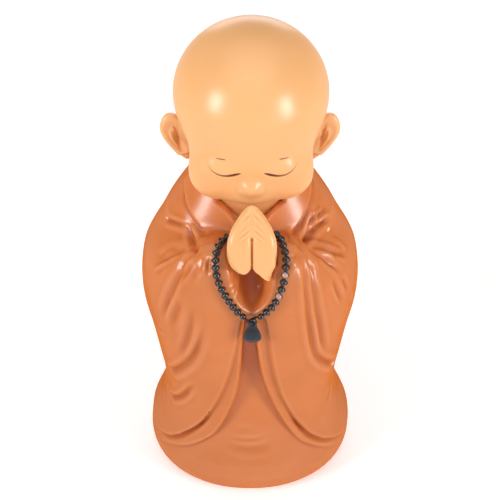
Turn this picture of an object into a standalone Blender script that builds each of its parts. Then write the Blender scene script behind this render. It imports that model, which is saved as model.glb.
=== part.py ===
"""Praying child monk, a small painted cast figure with a looped bead necklace and a drop pendant.

Metres, +Z up, the figure looks along -Y, and the origin is the centre of the flat underside.
The form is free: its numbers are in 1/198 of the height, so one unit is 1 mm on the 198 mm figure.
"""
import math

import bmesh
import bpy
import numpy as np

FIGURE_HEIGHT = 0.198
UNIT = FIGURE_HEIGHT / 198.0

FOOT_HALF_WIDTH = 42.5
FOOT_FRONT = 41.0
FOOT_BACK = 37.6
FOOT_LIP_HEIGHT = 8.0
SLEEVE_HALF_WIDTH = 41.7
SLEEVE_FRONT = 44.2
LINING_SETBACK = 2.0
SLIT_DEPTH = 1.5

HEAD_CENTRE = (0.4, 1.0, 164.5)
CRANIUM = (29.3, 31.2, 27.4)
EAR_CENTRE = (27.6, 4.5, 149.8)
EAR_LEAN_DEG = 20.0
EAR_HALF_LENGTH = 10.8
HAND_CENTRE = (0.7, -39.5, 129.5)
HAND_FRONT = 46.4
HAND_LEAN_HEIGHT = 135.0

BEAD_RADIUS = 1.3
BEAD_PITCH = 2.95
THREAD_RADIUS = 0.45
STRAND_FLATNESS = 1.15
STRAND_CLEARANCE = 0.45
EYE_CENTRE = (0.9, -47.7, 100.8)
EYE_HOLE_RADIUS = 1.0
EYE_OUTER_RADIUS = 1.8
PENDANT_HALF_WIDTH = 3.5
PENDANT_LENGTH = 11.8
PENDANT_THICKNESS = 3.2

FIGURE_TRIANGLES = 7000
FUSE_STEP = 0.45
FOOT_TRIM = 1.5

# Half widths and depths of the skirt, the sleeves and the shoulders against height.
SKIRT = {
    "z": (0, 3, FOOT_LIP_HEIGHT, 13, 20, 30, 45, 70, 95, 120),
    "side": (38.8, 41.2, FOOT_HALF_WIDTH, 41.0, 38.0, 35.0, 34.0, 33.0, 31.0, 28.0),
    "front": (37.5, 39.8, FOOT_FRONT, 40.0, 37.3, 35.0, 34.5, 34.3, 34.0, 22.0),
    "back": (34.5, 36.8, FOOT_BACK, 36.8, 33.5, 31.2, 30.0, 28.5, 26.0, 22.0),
}
SLEEVES = {
    "z": (0, 8, 14, 19, 25, 35, 45, 58, 71, 84, 96, 110, 120, 130, 140),
    "side": (43.2, 42.9, 42.2, 40.4, 37.8, 35.6, 35.9, 38.0, 40.1, SLEEVE_HALF_WIDTH, 41.3, 38, 30, 20, 10),
    "front": (43.0, 42.4, 41.2, 39.6, 38.2, 37.8, 38.6, 40.2, 42.0, 43.6, SLEEVE_FRONT, 43, 36, 20, 10),
    "back": (34.0, 34.0, 33.0, 32.2, 31.6, 31.0, 30.6, 30.3, 30.0, 29.5, 29.0, 26, 22, 20, 10),
}
SHOULDERS = {
    "z": (0, 40, 60, 70, 77, 84, 90, 96, 102, 108, 114, 120, 126, 131, 137, 142, 147, 151),
    "side": (
        24, 28, 32, 36.5, 39.8, 41.1, 41.3, 40.7, 39.5, 37.8, 35.8, 33.5, 30.4, 27.0, 23.2,
        19.4, 14.6, 9.2,
    ),
    "front": (
        12, 16, 20, 23, 24.6, 25.2, 25.5, 25.7, 25.7, 25.5, 24.8, 23.8, 22.2, 20.3, 17.5,
        14.7, 11.5, 8.0,
    ),
    "back": (
        16, 19, 23, 26, 27.8, 28.6, 29.0, 29.3, 29.5, 29.3, 28.9, 28.1, 26.7, 24.8, 21.5,
        18.0, 13.5, 9.0,
    ),
}
# Heights of the outer hem and of the lining's edge against the angle from the front, in degrees.
HEM = {
    "angle": (
        -180, -135, -110, -90, -75, -62, -52, -45.7, -40.2, -34.2, -28.8, -23.4, -19.2, -15.3, -12.2,
        -9.8, -8.1,
        -6.4, -5.2, -3.5, 0, 5, 7.2, 8.2, 9.8, 11.1, 13.7, 17, 21.2, 26.5, 32.7, 38.4, 45.1, 52.3, 60,
        75, 90, 110,
        135, 180,
    ),
    "height": (
        26, 24, 18, 14.5, 14, 16, 19.2, 22.8, 26.8, 31.6, 37.2, 44, 50.7, 58.2, 65.8, 73.1, 79.6,
        86.3, 93, 99.3, 100.3, 100.3, 99, 94.3, 86.4, 77.9, 67, 56.7, 48.4, 39.9, 32.2, 26.2, 21.2,
        17.7, 14.8, 12,
        12.5, 17, 24, 26,
    ),
}
LINING = {
    "angle": (
        -180, -135, -110, -90, -75, -62.3, -55.1, -49, -43.1, -35.1, -28, -22.7, -17.5, -13.5, -9.6,
        -6.9, -5.6, -4.8,
        -3.6, 0, 2.6, 3.7, 4.9, 7.3, 10.5, 14.4, 19.2, 25.5, 32.1, 38.4, 45.1, 52.8, 62, 75, 90, 110,
        135, 180,
    ),
    "height": (
        22, 20, 14, 10.5, 9.5, 11.1, 13.3, 15.3, 17.3, 21, 25.4, 29.6, 36.2, 43.3, 51.4, 60.7, 68.7, 78.8,
        92, 97, 95, 84.5, 75.9, 65.1, 56.5, 48.2, 40.2, 31.1, 23.9, 19.5, 16.3, 12.9, 10.5, 9, 9.5, 13,
        20, 22,
    ),
}
# Half width and back depth of the pocket between the cuffs against height.
POCKET = {
    "z": (100, 103, 105, 107, 110, 113.5, 118, 122, 126, 134, 150),
    "half": (-3, 0.6, 2.9, 4.4, 5.7, 6.6, 7.8, 8.8, 10.3, 12.2, 14),
    "floor_z": (100, 103, 106, 110, 116, 122, 130),
    "floor": (-46, -42, -37.5, -33, -29, -26.5, -26.5),
}
# Half width of the pressed hands against height, read along a slope that falls towards the front.
HAND_OUTLINE = {
    "rise": (116, 119.3, 121.2, 123, 125.3, 130.3, 134.7, 137.6, 140, 142.2, 145.2, 147.3, 149.6, 151.5),
    "half": (5.0, 6.3, 7.6, 8.3, 8.7, 9.3, 8.8, 8.1, 7.4, 6.3, 4.8, 3.4, 1.5, -2.0),
}

# Each fold: points it runs through, depth cut in, width, and the shares of its length it fades over.
FOLDS = (
    ((
        (-32.7, -7.8, 119.3), (-29.7, -12.2, 121.1), (-26.5, -15.5, 122.2),
        (-24.1, -17.6, 122.4),
    ), 1.1, 1.1, 0.15, 0.3),
    ((
        (-24.5, -15.5, 124.2), (-23.5, -18.2, 122.3), (-22.5, -20.7, 120.9),
        (-21.2, -25.8, 121.4), (-19.5, -32.2, 123.6),
    ), 1.65, 1.1, 0.3, 0.05),
    (((-23.1, -26.4, 120), (-21.1, -30.3, 122.1), (-19.1, -33.4, 123.8)), 1.76, 1.8, 0.4, 0.2),
    ((
        (-35.5, -21.6, 108.4), (-31.5, -23.3, 112.7), (-28.2, -24.7, 115.5),
        (-25, -26.9, 118.2),
    ), 1.21, 1.6, 0.3, 0.2),
    ((
        (-20.2, -33.5, 122.7), (-23, -32.3, 119.4), (-25.7, -31.3, 115.7),
        (-27.7, -31.5, 112.4),
    ), 1.1, 1.1, 0.2, 0.4),
    ((
        (-22.9, -33.8, 118.7), (-26.9, -33.2, 111.9), (-29.8, -33.5, 104.8),
        (-32.5, -31, 95.7), (-34.9, -27.7, 85.3),
    ), 1.21, 1.5, 0.2, 0.3),
    (((-15.4, -37.6, 124), (-15.4, -40.1, 121.8), (-15.6, -42, 118.5)), 0.99, 1.1, 0.2, 0.4),
    ((
        (-26.6, -37, 104.7), (-28, -35.9, 97.8), (-29.8, -34.3, 90.4),
        (-31.3, -32.2, 82.9),
    ), 0.99, 1.8, 0.4, 0.4),
    ((
        (-21.5, -41.2, 104.8), (-22.3, -40.7, 95.8), (-24, -39.1, 85.4),
        (-27.7, -33.6, 70.5),
    ), 0.99, 1.5, 0.4, 0.3),
    ((
        (-17.8, -43.1, 98.9), (-18.8, -42.6, 89.9), (-24, -36.8, 70.8),
        (-30.7, -26.7, 56.8), (-32.9, -21.8, 52.8),
    ), 1.32, 1.5, 0.4, 0.1),
    ((
        (-21.1, -36.7, 58.9), (-24.1, -33.1, 53.1), (-29.2, -25, 40.4),
        (-33.4, -16.1, 35.7), (-34.1, -13.4, 37.2),
    ), 1.1, 1.1, 0.4, 0.2),
    ((
        (31.4, -9.1, 121.3), (28.9, -12.8, 122.1), (23.7, -18.7, 121.5),
        (20.1, -25.8, 122.2),
    ), 1.87, 1.1, 0.25, 0.05),
    ((
        (13.8, -31.3, 126.2), (16.1, -31.4, 125.6), (18, -31.8, 124.7),
        (19.9, -31.8, 123.3),
    ), 0.99, 1.1, 0.1, 0.3),
    ((
        (21.2, -27.4, 121.7), (25.1, -24.1, 118.4), (29.1, -21.7, 115.5),
        (33.2, -19.7, 112.4), (37.7, -16.6, 108),
    ), 1.1, 1.1, 0.2, 0.2),
    ((
        (21.1, -29.2, 122), (23.9, -27.9, 119.3), (29.8, -26.5, 113.1),
        (35.5, -24.9, 105.1),
    ), 1.21, 1.1, 0.2, 0.4),
    ((
        (19, -34.9, 123.3), (20.9, -38.9, 117), (22.7, -40.4, 96.6),
        (25.4, -36.9, 77.2), (30.4, -28.9, 63.3), (33.8, -20.9, 55.6),
    ), 1.32, 1.4, 0.15, 0.05),
    ((
        (22.1, -34.2, 119.9), (23.7, -37.6, 111.6), (26.1, -37.8, 94.9),
        (31.1, -28.9, 66.9),
    ), 1.21, 1.4, 0.2, 0.3),
    ((
        (-9.9, -33, 28), (-5.8, -34.2, 26.6), (0, -34.6, 26.4),
        (4.9, -34.1, 27.1), (8.2, -33, 29.1),
    ), 0.77, 1.1, 0.35, 0.35),
)
BACK_FOLD_ANGLES = (128, 150, 171, 192, 214, 234)
COLLAR_MIDDLE = -1.1
COLLAR_LINE = (
    (-24.4, -4.2, 136.2),
    (-23.5, -9.5, 131.2),
    (-22.6, -12.1, 129.3),
    (-21.4, -14.4, 127.7),
    (-19.9, -16.7, 126.1),
    (-18.3, -18.8, 124.8),
    (-15.6, -23.3, 123.9),
    (-11, -28, 123),
)

# The strand's route on the left and on the right, from behind the hands down to the pendant's eye.
STRAND_LEFT = (
    (-4, -28.5, 127),
    (-8.2, -30.8, 126.8),
    (-11.2, -34.5, 126.6),
    (-12.6, -39, 125),
    (-12.6, -42.5, 121.5),
    (-11.4, -44.6, 117.2),
    (-8.9, -45.6, 111.8),
    (-5.6, -46.4, 106.3),
    (-2.4, -46.9, 102.6),
)
STRAND_RIGHT = (
    (5, -28.6, 128.6),
    (9.6, -30.6, 129.2),
    (12, -35.5, 128.4),
    (13.3, -40, 124.8),
    (12.9, -43.5, 119.6),
    (11.4, -45.4, 113.8),
    (8.6, -46.4, 107.8),
    (4.4, -46.9, 103),
)


def curve_through(x, knots, values):
    """Cubic Hermite curve through the knots, with the slopes taken between their neighbours."""
    k = np.asarray(knots, float)
    v = np.asarray(values, float)
    slope = np.gradient(v, k)
    x = np.clip(x, k[0], k[-1])
    i = np.clip(np.searchsorted(k, x, side="right") - 1, 0, len(k) - 2)
    h = k[i + 1] - k[i]
    t = (x - k[i]) / h
    rise = (3 - 2 * t) * t * t
    return v[i] * (1 - rise) + v[i + 1] * rise + h * t * (1 - t) * ((1 - t) * slope[i] - t * slope[i + 1])


def ease(x, low, high):
    t = np.clip((x - low) / (high - low), 0, 1)
    return t * t * (3 - 2 * t)


def joined(a, b, blend):
    """Union of two distance fields, rounded over the width blend."""
    h = np.clip(0.5 + 0.5 * (b - a) / blend, 0, 1)
    return b + (a - b) * h - blend * h * (1 - h)


def common(a, b, blend):
    return -joined(-a, -b, blend)


def tapered_rod(p, start, end, radius_start, radius_end):
    a = np.array(start, float)
    d = np.array(end, float) - a
    t = np.clip(((p - a) @ d) / (d @ d), 0, 1)
    q = p - (a + t[..., None] * d)
    return np.sqrt((q ** 2).sum(-1)) - (radius_start + (radius_end - radius_start) * t)


def ellipsoid(p, centre, radii):
    q = (p - np.array(centre, float)) / np.array(radii, float)
    length = np.sqrt((q ** 2).sum(-1))
    slope = np.sqrt(((q / np.array(radii, float)) ** 2).sum(-1)) + 1e-9
    return length * (length - 1) / slope


def plan_radius(angle, z, table, power):
    """Radius of a rounded plan outline whose side, front and back half sizes follow the height."""
    side = curve_through(z, table["z"], table["side"])
    front = curve_through(z, table["z"], table["front"])
    back = curve_through(z, table["z"], table["back"])
    depth = np.where(np.cos(angle) > 0, front, back)
    return ((np.abs(np.sin(angle)) / side) ** power + (np.abs(np.cos(angle)) / depth) ** power) ** (-1 / power)


def above_edge(turn, z, edge):
    """Distance above a hem line whose height follows the angle, measured square to the line."""
    degrees = np.arange(-180, 181, 1.0)
    height = curve_through(degrees, edge["angle"], edge["height"])
    slant = np.interp(turn, degrees, np.gradient(height, np.radians(1.0))) / 40
    return (z - np.interp(turn, degrees, height)) / np.sqrt(1 + slant ** 2)


def robe_field(p):
    x, y, z = p[..., 0], p[..., 1], p[..., 2]
    angle = np.arctan2(x, -y)
    turn = np.degrees(angle)
    reach = np.hypot(x, y)
    skirt = np.maximum(reach - plan_radius(angle, z, SKIRT, 2.15), z - 118)
    shoulders = common(reach - plan_radius(angle, z, SHOULDERS, 2.2), z - 149, 4)
    mirrored = np.stack([np.abs(x), y, z], -1)
    forearm = tapered_rod(mirrored, (26.2, -7.5, 98.5), (12, -31.5, 114.5), 12.2, 11.8)
    top = joined(shoulders, forearm, 6)
    # The sleeves hang as a cloth layer outside the skirt and end at the hem, with a lining below it.
    lobe = 1 + 0.035 * np.exp(-(((np.abs(turn) - 20) / 14) ** 2))
    cloth = common(reach - plan_radius(angle, z, SLEEVES, 2.35) * lobe, z - 116, 14)
    below = -above_edge(turn, z, HEM)
    outer = common(cloth, below, 1.0)
    at_side = ease(np.abs(turn), 22, 34) * (1 - ease(np.abs(turn), 56, 70))
    slit = SLIT_DEPTH * np.exp(-(((below - 0.9) / 0.9) ** 2)) * at_side
    lining = common(cloth + LINING_SETBACK + slit, -above_edge(turn, z, LINING), 1.0)
    body = joined(top, joined(skirt, joined(outer, lining, 0.6), 1.0), 8)
    # The two sleeve mouths face each other across a pocket in front of the chest.
    half_gap = curve_through(z, POCKET["z"], POCKET["half"])
    back = curve_through(z, POCKET["floor_z"], POCKET["floor"])
    pocket = common(np.abs(x - 0.8) - half_gap, y - back + 0.1 * (x - 0.8) ** 2, 2.4)
    return common(body, -pocket, 1.6)


def head_field(p):
    q = p - np.array(HEAD_CENTRE)
    m = np.stack([np.abs(q[..., 0]), q[..., 1], q[..., 2]], -1)
    f = ellipsoid(m, (0, 2.7, 6), CRANIUM)
    f = joined(f, ellipsoid(m, (0, -5.6, -11.4), (21.8, 21.0, 18.5)), 7.5)
    f = joined(f, ellipsoid(m, (11.8, -14.5, -18.6), (11.5, 10.8, 10)), 6)
    f = joined(f, ellipsoid(m, (0, -18.2, -21.6), (8.8, 8.0, 7.0)), 5)
    f = joined(f, ellipsoid(m, (0, -25.6, -17.6), (3.3, 3.6, 3.2)), 3.2)
    f = joined(f, ellipsoid(m, (2.5, -25.0, -18.8), (1.4, 2.0, 1.3)), 1.6)
    f = joined(f, ellipsoid(m, (9.6, -21.9, -10.2), (6.0, 3.4, 3.2)), 4.2)
    neck = np.hypot(q[..., 0], q[..., 1] - 2) - 13.5
    neck = np.maximum(common(neck, -38.5 - q[..., 2], 2), q[..., 2] + 5)
    f = joined(f, neck, 6)
    return joined(f, ellipsoid(q, (0, -5.5, -33), (15.5, 14.5, 12)), 4)


def ear_field(p):
    q = p - np.array(EAR_CENTRE)
    lean = math.radians(EAR_LEAN_DEG)
    x = q[..., 0] * math.cos(lean) - q[..., 2] * math.sin(lean)
    z = q[..., 0] * math.sin(lean) + q[..., 2] * math.cos(lean)
    y = q[..., 1]
    half = curve_through(z, (-11.5, -6, 0, 6, 11.5), (2.8, 3.5, 4.6, 5.7, 5.6))
    edge = (np.sqrt((x / half) ** 2 + (z / EAR_HALF_LENGTH) ** 2) - 1) * half
    plate = common(edge, np.abs(y) - 1.7, 1.4)
    rim = np.maximum(np.hypot(edge + 1.1, y + 1.3) - 1.25, -z - 7)
    bowl = ellipsoid(np.stack([x, y, z], -1), (-1.2, -2.4, -0.6), (2.3, 2.5, 4.6))
    return common(joined(plate, rim, 0.7), -bowl, 0.9)


def hand_field(p):
    """Two palms pressed together: a pointed outline, a leaning front, a slit and a longer right heel."""
    signed = p - np.array((HAND_CENTRE[0], 0, 0))
    x = np.abs(signed[..., 0])
    y, z = p[..., 1], p[..., 2]
    m = np.stack([x, y, z], -1)
    right = np.maximum(signed[..., 0], 0)
    upright = -y - HAND_FRONT + 0.6 * ((x - 4.4) / 4.4) ** 2
    leaning = -0.741 * (y + HAND_FRONT) + 0.672 * (z - HAND_LEAN_HEIGHT)
    sight = z + 0.781 * (y + 40)
    heel = 1.8 * ease(-sight, -126, -117) * ease(right, 0, 2)
    side = (x - curve_through(sight, HAND_OUTLINE["rise"], HAND_OUTLINE["half"]) - heel) * 0.75
    body = common(common(upright, leaning, 5), side, 2.6)
    under = 121.4 - z - 1.15 * np.maximum(right - 2.6, 0)
    body = common(body, common(y + 33.5, under, 3), 2.4)
    body = joined(body, tapered_rod(m, (4.6, -38, 125), (7.0, -29, 117.5), 4.0, 4.0), 2)
    deep = 43.6 - 9 * ease(-z, -125, -120)
    slit = np.maximum(x - 0.3 - 0.45 * np.maximum(124.5 - z, 0), np.maximum(z - 137, y + deep))
    return common(body, -slit, 1.6)


def smooth_path(points, steps):
    """Catmull-Rom curve through the points, steps to each span."""
    q = np.array(points, float)
    q = np.vstack([2 * q[0] - q[1], q, 2 * q[-1] - q[-2]])
    t = (np.arange(steps) / steps)[:, None]
    spans = []
    for i in range(1, len(q) - 2):
        a, b, c, d = q[i - 1], q[i], q[i + 1], q[i + 2]
        span = 2 * b + (c - a) * t + (2 * a - 5 * b + 4 * c - d) * t ** 2 + (3 * b - a - 3 * c + d) * t ** 3
        spans.append(span / 2)
    return np.vstack(spans + [q[-2][None]])


def near_path(p, path):
    """Distance from each point to the path and the share of the path's length at the nearest place."""
    best = np.full(p.shape[:-1], 1e9)
    share = np.zeros(p.shape[:-1])
    run = np.r_[0, np.cumsum(np.linalg.norm(np.diff(path, axis=0), axis=1))]
    for i in range(len(path) - 1):
        d = path[i + 1] - path[i]
        t = np.clip(((p - path[i]) @ d) / (d @ d), 0, 1)
        gap = np.linalg.norm(p - path[i] - t[..., None] * d, axis=-1)
        nearer = gap < best
        best = np.where(nearer, gap, best)
        share = np.where(nearer, (run[i] + t * (run[i + 1] - run[i])) / run[-1], share)
    return best, share


def robe_relief(p):
    """Depth that the folds, the collar band and the neck opening cut into the robe at each point."""
    depth = np.zeros(p.shape[:-1])
    for points, cut, width, fade_start, fade_end in FOLDS:
        away, share = near_path(p, smooth_path(points, 4))
        fade = ease(share, 0, fade_start) * (1 - ease(share, 1 - fade_end, 1))
        groove = np.exp(-((away / width) ** 2)) - 0.35 * np.exp(-(((away - 2.2 * width) / width) ** 2))
        depth += cut * fade * groove
    x, y, z = p[..., 0], p[..., 1], p[..., 2]
    turn = np.degrees(np.arctan2(x, -y)) % 360
    for angle in BACK_FOLD_ANGLES:
        sway = angle + 2.5 * np.sin(z / 17 + angle)
        fade = ease(z, 16, 34) * (1 - ease(z, 84, 118))
        depth += 0.9 * fade * np.exp(-(((turn - sway) / 3.4) ** 2))
    mirrored = np.stack([-np.abs(x - COLLAR_MIDDLE), y, z], -1)
    line = smooth_path(COLLAR_LINE, 4)
    away, _ = near_path(mirrored, line)
    inside = -mirrored[..., 0] < np.interp(z, line[::-1, 2], -line[::-1, 0])
    signed = np.where(inside, away, -away)
    in_front = 1 - ease(y, -4, 2)
    depth -= 0.9 * ease(signed, -0.6, 0.6) * in_front * (1 - ease(away, 12, 20))
    depth += 0.5 * np.exp(-(((signed + 1.2) / 1.0) ** 2)) * in_front
    opening = np.interp(z, (125, 129.6, 131.6, 133.1, 134.5, 145), (3, 6.8, 8.7, 10.6, 12.8, 15))
    within = 1 - ease(np.abs(x), opening - 0.6, opening + 0.4)
    depth += 4 * within * (1 - ease(y, -8, -4)) * ease(z, 125, 127)
    return depth


def field_normal(p, field, reach=0.05):
    grads = []
    for axis in np.eye(3):
        grads.append(field(p + axis * reach) - field(p - axis * reach))
    n = np.stack(grads, -1)
    return n / (np.linalg.norm(n, axis=-1, keepdims=True) + 1e-12)


def cast_inwards(origin, direction, field, far, steps):
    """Where each ray, followed from its far end back to its origin, first enters the field."""
    shape = origin.shape[:-1]
    low = np.zeros(shape)
    high = np.full(shape, far / steps)
    found = np.zeros(shape, bool)
    for t in np.linspace(far, 0, steps + 1)[1:]:
        left = ~found
        if not left.any():
            break
        hit = np.zeros(shape, bool)
        hit[left] = field(origin[left] + t * direction[left]) < 0
        low = np.where(hit, t, low)
        high = np.where(hit, t + far / steps, high)
        found |= hit
    for _ in range(16):
        middle = (low + high) / 2
        inside = field(origin + middle[..., None] * direction) < 0
        low = np.where(inside, middle, low)
        high = np.where(inside, high, middle)
    return origin + ((low + high) / 2)[..., None] * direction


def closed_grid(rows):
    """Vertices and faces of a grid of rings that closes in a point at each end."""
    count, around = rows.shape[:2]
    index = np.arange(count * around).reshape(count, around)
    turned = np.roll(index, -1, 1)
    quads = np.stack([index[:-1], turned[:-1], turned[1:], index[1:]], -1).reshape(-1, 4)
    low, high = count * around, count * around + 1
    fans = [[low, b, a] for a, b in zip(index[0], turned[0])]
    fans += [[high, a, b] for a, b in zip(index[-1], turned[-1])]
    verts = np.vstack([rows.reshape(-1, 3), rows[0].mean(0), rows[-1].mean(0)])
    return verts, quads.tolist() + fans


def add_object(name, verts, faces, material):
    mesh = bpy.data.meshes.new(name)
    mesh.from_pydata((np.asarray(verts) * UNIT).tolist(), [], faces)
    mesh.update()
    if material:
        mesh.materials.append(material)
    obj = bpy.data.objects.new(name, mesh)
    bpy.context.scene.collection.objects.link(obj)
    return obj


def bake(obj):
    """Puts the object's modifiers into its mesh."""
    graph = bpy.context.evaluated_depsgraph_get()
    mesh = bpy.data.meshes.new_from_object(obj.evaluated_get(graph))
    obj.modifiers.clear()
    obj.data = mesh


def cut_through(obj, other):
    mod = obj.modifiers.new("cut", "BOOLEAN")
    mod.operation = "DIFFERENCE"
    mod.solver = "EXACT"
    mod.object = other
    bpy.context.view_layer.update()
    bake(obj)
    bpy.data.objects.remove(other)


def keep_largest(obj):
    """Drops closed pockets left inside by the fusing, so that the casting is one body."""
    bm = bmesh.new()
    bm.from_mesh(obj.data)
    bm.verts.ensure_lookup_table()
    seen = set()
    groups = []
    for vert in bm.verts:
        if vert.index in seen:
            continue
        seen.add(vert.index)
        group, queue = [], [vert]
        while queue:
            v = queue.pop()
            group.append(v)
            for edge in v.link_edges:
                w = edge.other_vert(v)
                if w.index not in seen:
                    seen.add(w.index)
                    queue.append(w)
        groups.append(group)
    groups.sort(key=len)
    for group in groups[:-1]:
        bmesh.ops.delete(bm, geom=group, context="VERTS")
    bm.to_mesh(obj.data)
    bm.free()


def shade(obj, smooth):
    obj.data.polygons.foreach_set("use_smooth", [smooth] * len(obj.data.polygons))


def paint(name, colour, roughness, metallic=0.0):
    material = bpy.data.materials.new(name)
    material.use_nodes = True
    shader = material.node_tree.nodes["Principled BSDF"]
    shader.inputs["Base Color"].default_value = (*colour, 1.0)
    shader.inputs["Roughness"].default_value = roughness
    shader.inputs["Metallic"].default_value = metallic
    return material


def robe_rows(around, rows):
    """The robe: rays from a vertical axis, level up to the elbows and fanning upwards over the shoulders."""
    u = np.linspace(0, 2 * np.pi, around, endpoint=False)
    u = u - 0.44 * np.sin(u)
    v = np.linspace(0, 1, rows)
    height = np.interp(v, (0, 0.72, 1), (-FOOT_TRIM, 112, 118))
    rise = np.radians(np.interp(v, (0, 0.72, 1), (0, 0, 84)))
    turn, lift = np.meshgrid(u, rise)
    origin = np.zeros((rows, around, 3))
    origin[..., 2] = height[:, None]
    out = np.cos(lift)
    direction = np.stack([out * np.sin(turn), -out * np.cos(turn), np.sin(lift)], -1)
    points = cast_inwards(origin, direction, robe_field, 62, 90)
    points -= field_normal(points, robe_field) * robe_relief(points)[..., None]
    points[0, :, 2] = -FOOT_TRIM
    return points


def ball_rows(around, rows, centre, field, far, front=0.0):
    """A closed form: rays from a centre, drawn together towards the front by the share front."""
    u = np.linspace(0, 2 * np.pi, around, endpoint=False)
    u = u - front * np.sin(u)
    v = np.linspace(math.pi - 0.06, 0.06, rows)
    turn, tilt = np.meshgrid(u, v)
    direction = np.stack([np.sin(tilt) * np.sin(turn), -np.sin(tilt) * np.cos(turn), np.cos(tilt)], -1)
    origin = np.zeros_like(direction) + np.array(centre, float)
    return cast_inwards(origin, direction, field, far, 80)


def flatten_underside(obj):
    """Cuts the casting off level at z 0 and closes it with one flat face."""
    bm = bmesh.new()
    bm.from_mesh(obj.data)
    everything = bm.verts[:] + bm.edges[:] + bm.faces[:]
    bmesh.ops.bisect_plane(bm, geom=everything, plane_co=(0, 0, 0), plane_no=(0, 0, -1), clear_outer=True)
    bmesh.ops.holes_fill(bm, edges=[e for e in bm.edges if e.is_boundary], sides=0)
    bmesh.ops.triangulate(bm, faces=bm.faces[:])
    bm.to_mesh(obj.data)
    bm.free()


def add_figure():
    """The robe, head, ears and hands as closed forms that run into one another, fused into one casting."""
    grids = [
        robe_rows(220, 190),
        ball_rows(110, 96, HEAD_CENTRE, head_field, 55, 0.3),
        ball_rows(90, 80, HAND_CENTRE, hand_field, 30),
    ]
    ear = ball_rows(50, 44, EAR_CENTRE, ear_field, 20)
    grids += [ear, (ear * (-1, 1, 1))[:, ::-1]]
    verts, faces, used = [], [], 0
    for grid in grids:
        v, f = closed_grid(grid)
        verts.append(v)
        faces += [[i + used for i in face] for face in f]
        used += len(v)
    figure = add_object("monk_figure", np.vstack(verts), faces, None)
    mod = figure.modifiers.new("fuse", "REMESH")
    mod.mode = "VOXEL"
    mod.voxel_size = FUSE_STEP * UNIT
    mod = figure.modifiers.new("facets", "TRIANGULATE")
    bake(figure)
    keep_largest(figure)
    mod = figure.modifiers.new("facets", "DECIMATE")
    mod.ratio = FIGURE_TRIANGLES / len(figure.data.polygons)
    bake(figure)
    flatten_underside(figure)
    figure.data.materials.append(paint("robe_paint", (0.60, 0.235, 0.085), 0.38))
    shade(figure, True)
    return figure


def settle(points, gap):
    """Moves points of the strand outwards until they stand clear of the robe and the hands by gap."""
    def field(p):
        return np.minimum(robe_field(p) + np.minimum(robe_relief(p), 0), hand_field(p))

    for _ in range(12):
        short = np.maximum(gap - field(points), 0)
        points = points + field_normal(points, field) * short[..., None]
    return points


def strand_route():
    """The loop's centre line: down the left, through the eye from front to back, and up the right."""
    x, y, z = EYE_CENTRE
    left = settle(smooth_path(STRAND_LEFT, 6), BEAD_RADIUS + STRAND_CLEARANCE)
    right = settle(smooth_path(STRAND_RIGHT, 6), BEAD_RADIUS + STRAND_CLEARANCE)
    half = 0.3 * PENDANT_THICKNESS
    through = (
        (x - 1.2, y - half - 0.8, z + 1.1),
        (x, y - half, z + 0.1),
        (x, y, z),
        (x, y + half, z + 0.1),
        (x + 1.2, y + half + 0.6, z + 1.1),
    )
    knots = np.vstack([left[::3], np.array(through), right[::-1][::3]])
    closed = np.vstack([knots[-1], knots, knots[0], knots[1]])
    dense = smooth_path(closed, 8)[8:-8]
    return dense[:-1]


def add_necklace():
    """One row of beads on its threads: a six-sided tube that swells at each bead."""
    route = strand_route()
    loop = np.vstack([route, route[0]])
    run = np.r_[0, np.cumsum(np.linalg.norm(np.diff(loop, axis=0), axis=1))]
    beads = int(round(run[-1] / BEAD_PITCH))
    profile = np.array((1.0, 0.86, 0.5, 0.86))
    stations = np.linspace(0, run[-1], beads * len(profile), endpoint=False)
    centre = np.stack([np.interp(stations, run, loop[:, k]) for k in range(3)], -1)
    tangent = np.roll(centre, -1, 0) - np.roll(centre, 1, 0)
    tangent /= np.linalg.norm(tangent, axis=1, keepdims=True)
    across = np.cross(tangent, (0.0, -0.75, 0.66))
    across /= np.linalg.norm(across, axis=1, keepdims=True)
    rise = np.cross(across, tangent)
    eye = np.linalg.norm(centre - np.array(EYE_CENTRE), axis=1)
    swell = ease(eye, 3.0, 4.5)
    radius = (THREAD_RADIUS + (BEAD_RADIUS * np.tile(profile, beads) - THREAD_RADIUS) * swell)[:, None]
    sides = np.radians(np.arange(0, 360, 60))
    wide = np.cos(sides) * radius * (1 + (STRAND_FLATNESS - 1) * swell[:, None])
    high = np.sin(sides) * radius
    rings = centre[:, None] + wide[..., None] * across[:, None] + high[..., None] * rise[:, None]
    count, around = rings.shape[:2]
    index = np.arange(count * around).reshape(count, around)
    turned = np.roll(index, -1, 1)
    faces = np.stack([index, np.roll(index, -1, 0), np.roll(turned, -1, 0), turned], -1).reshape(-1, 4)
    gloss = paint("bead_gloss", (0.012, 0.010, 0.012), 0.18)
    obj = add_object("bead_necklace", rings.reshape(-1, 3), faces.tolist(), gloss)
    shade(obj, True)
    return obj


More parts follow.
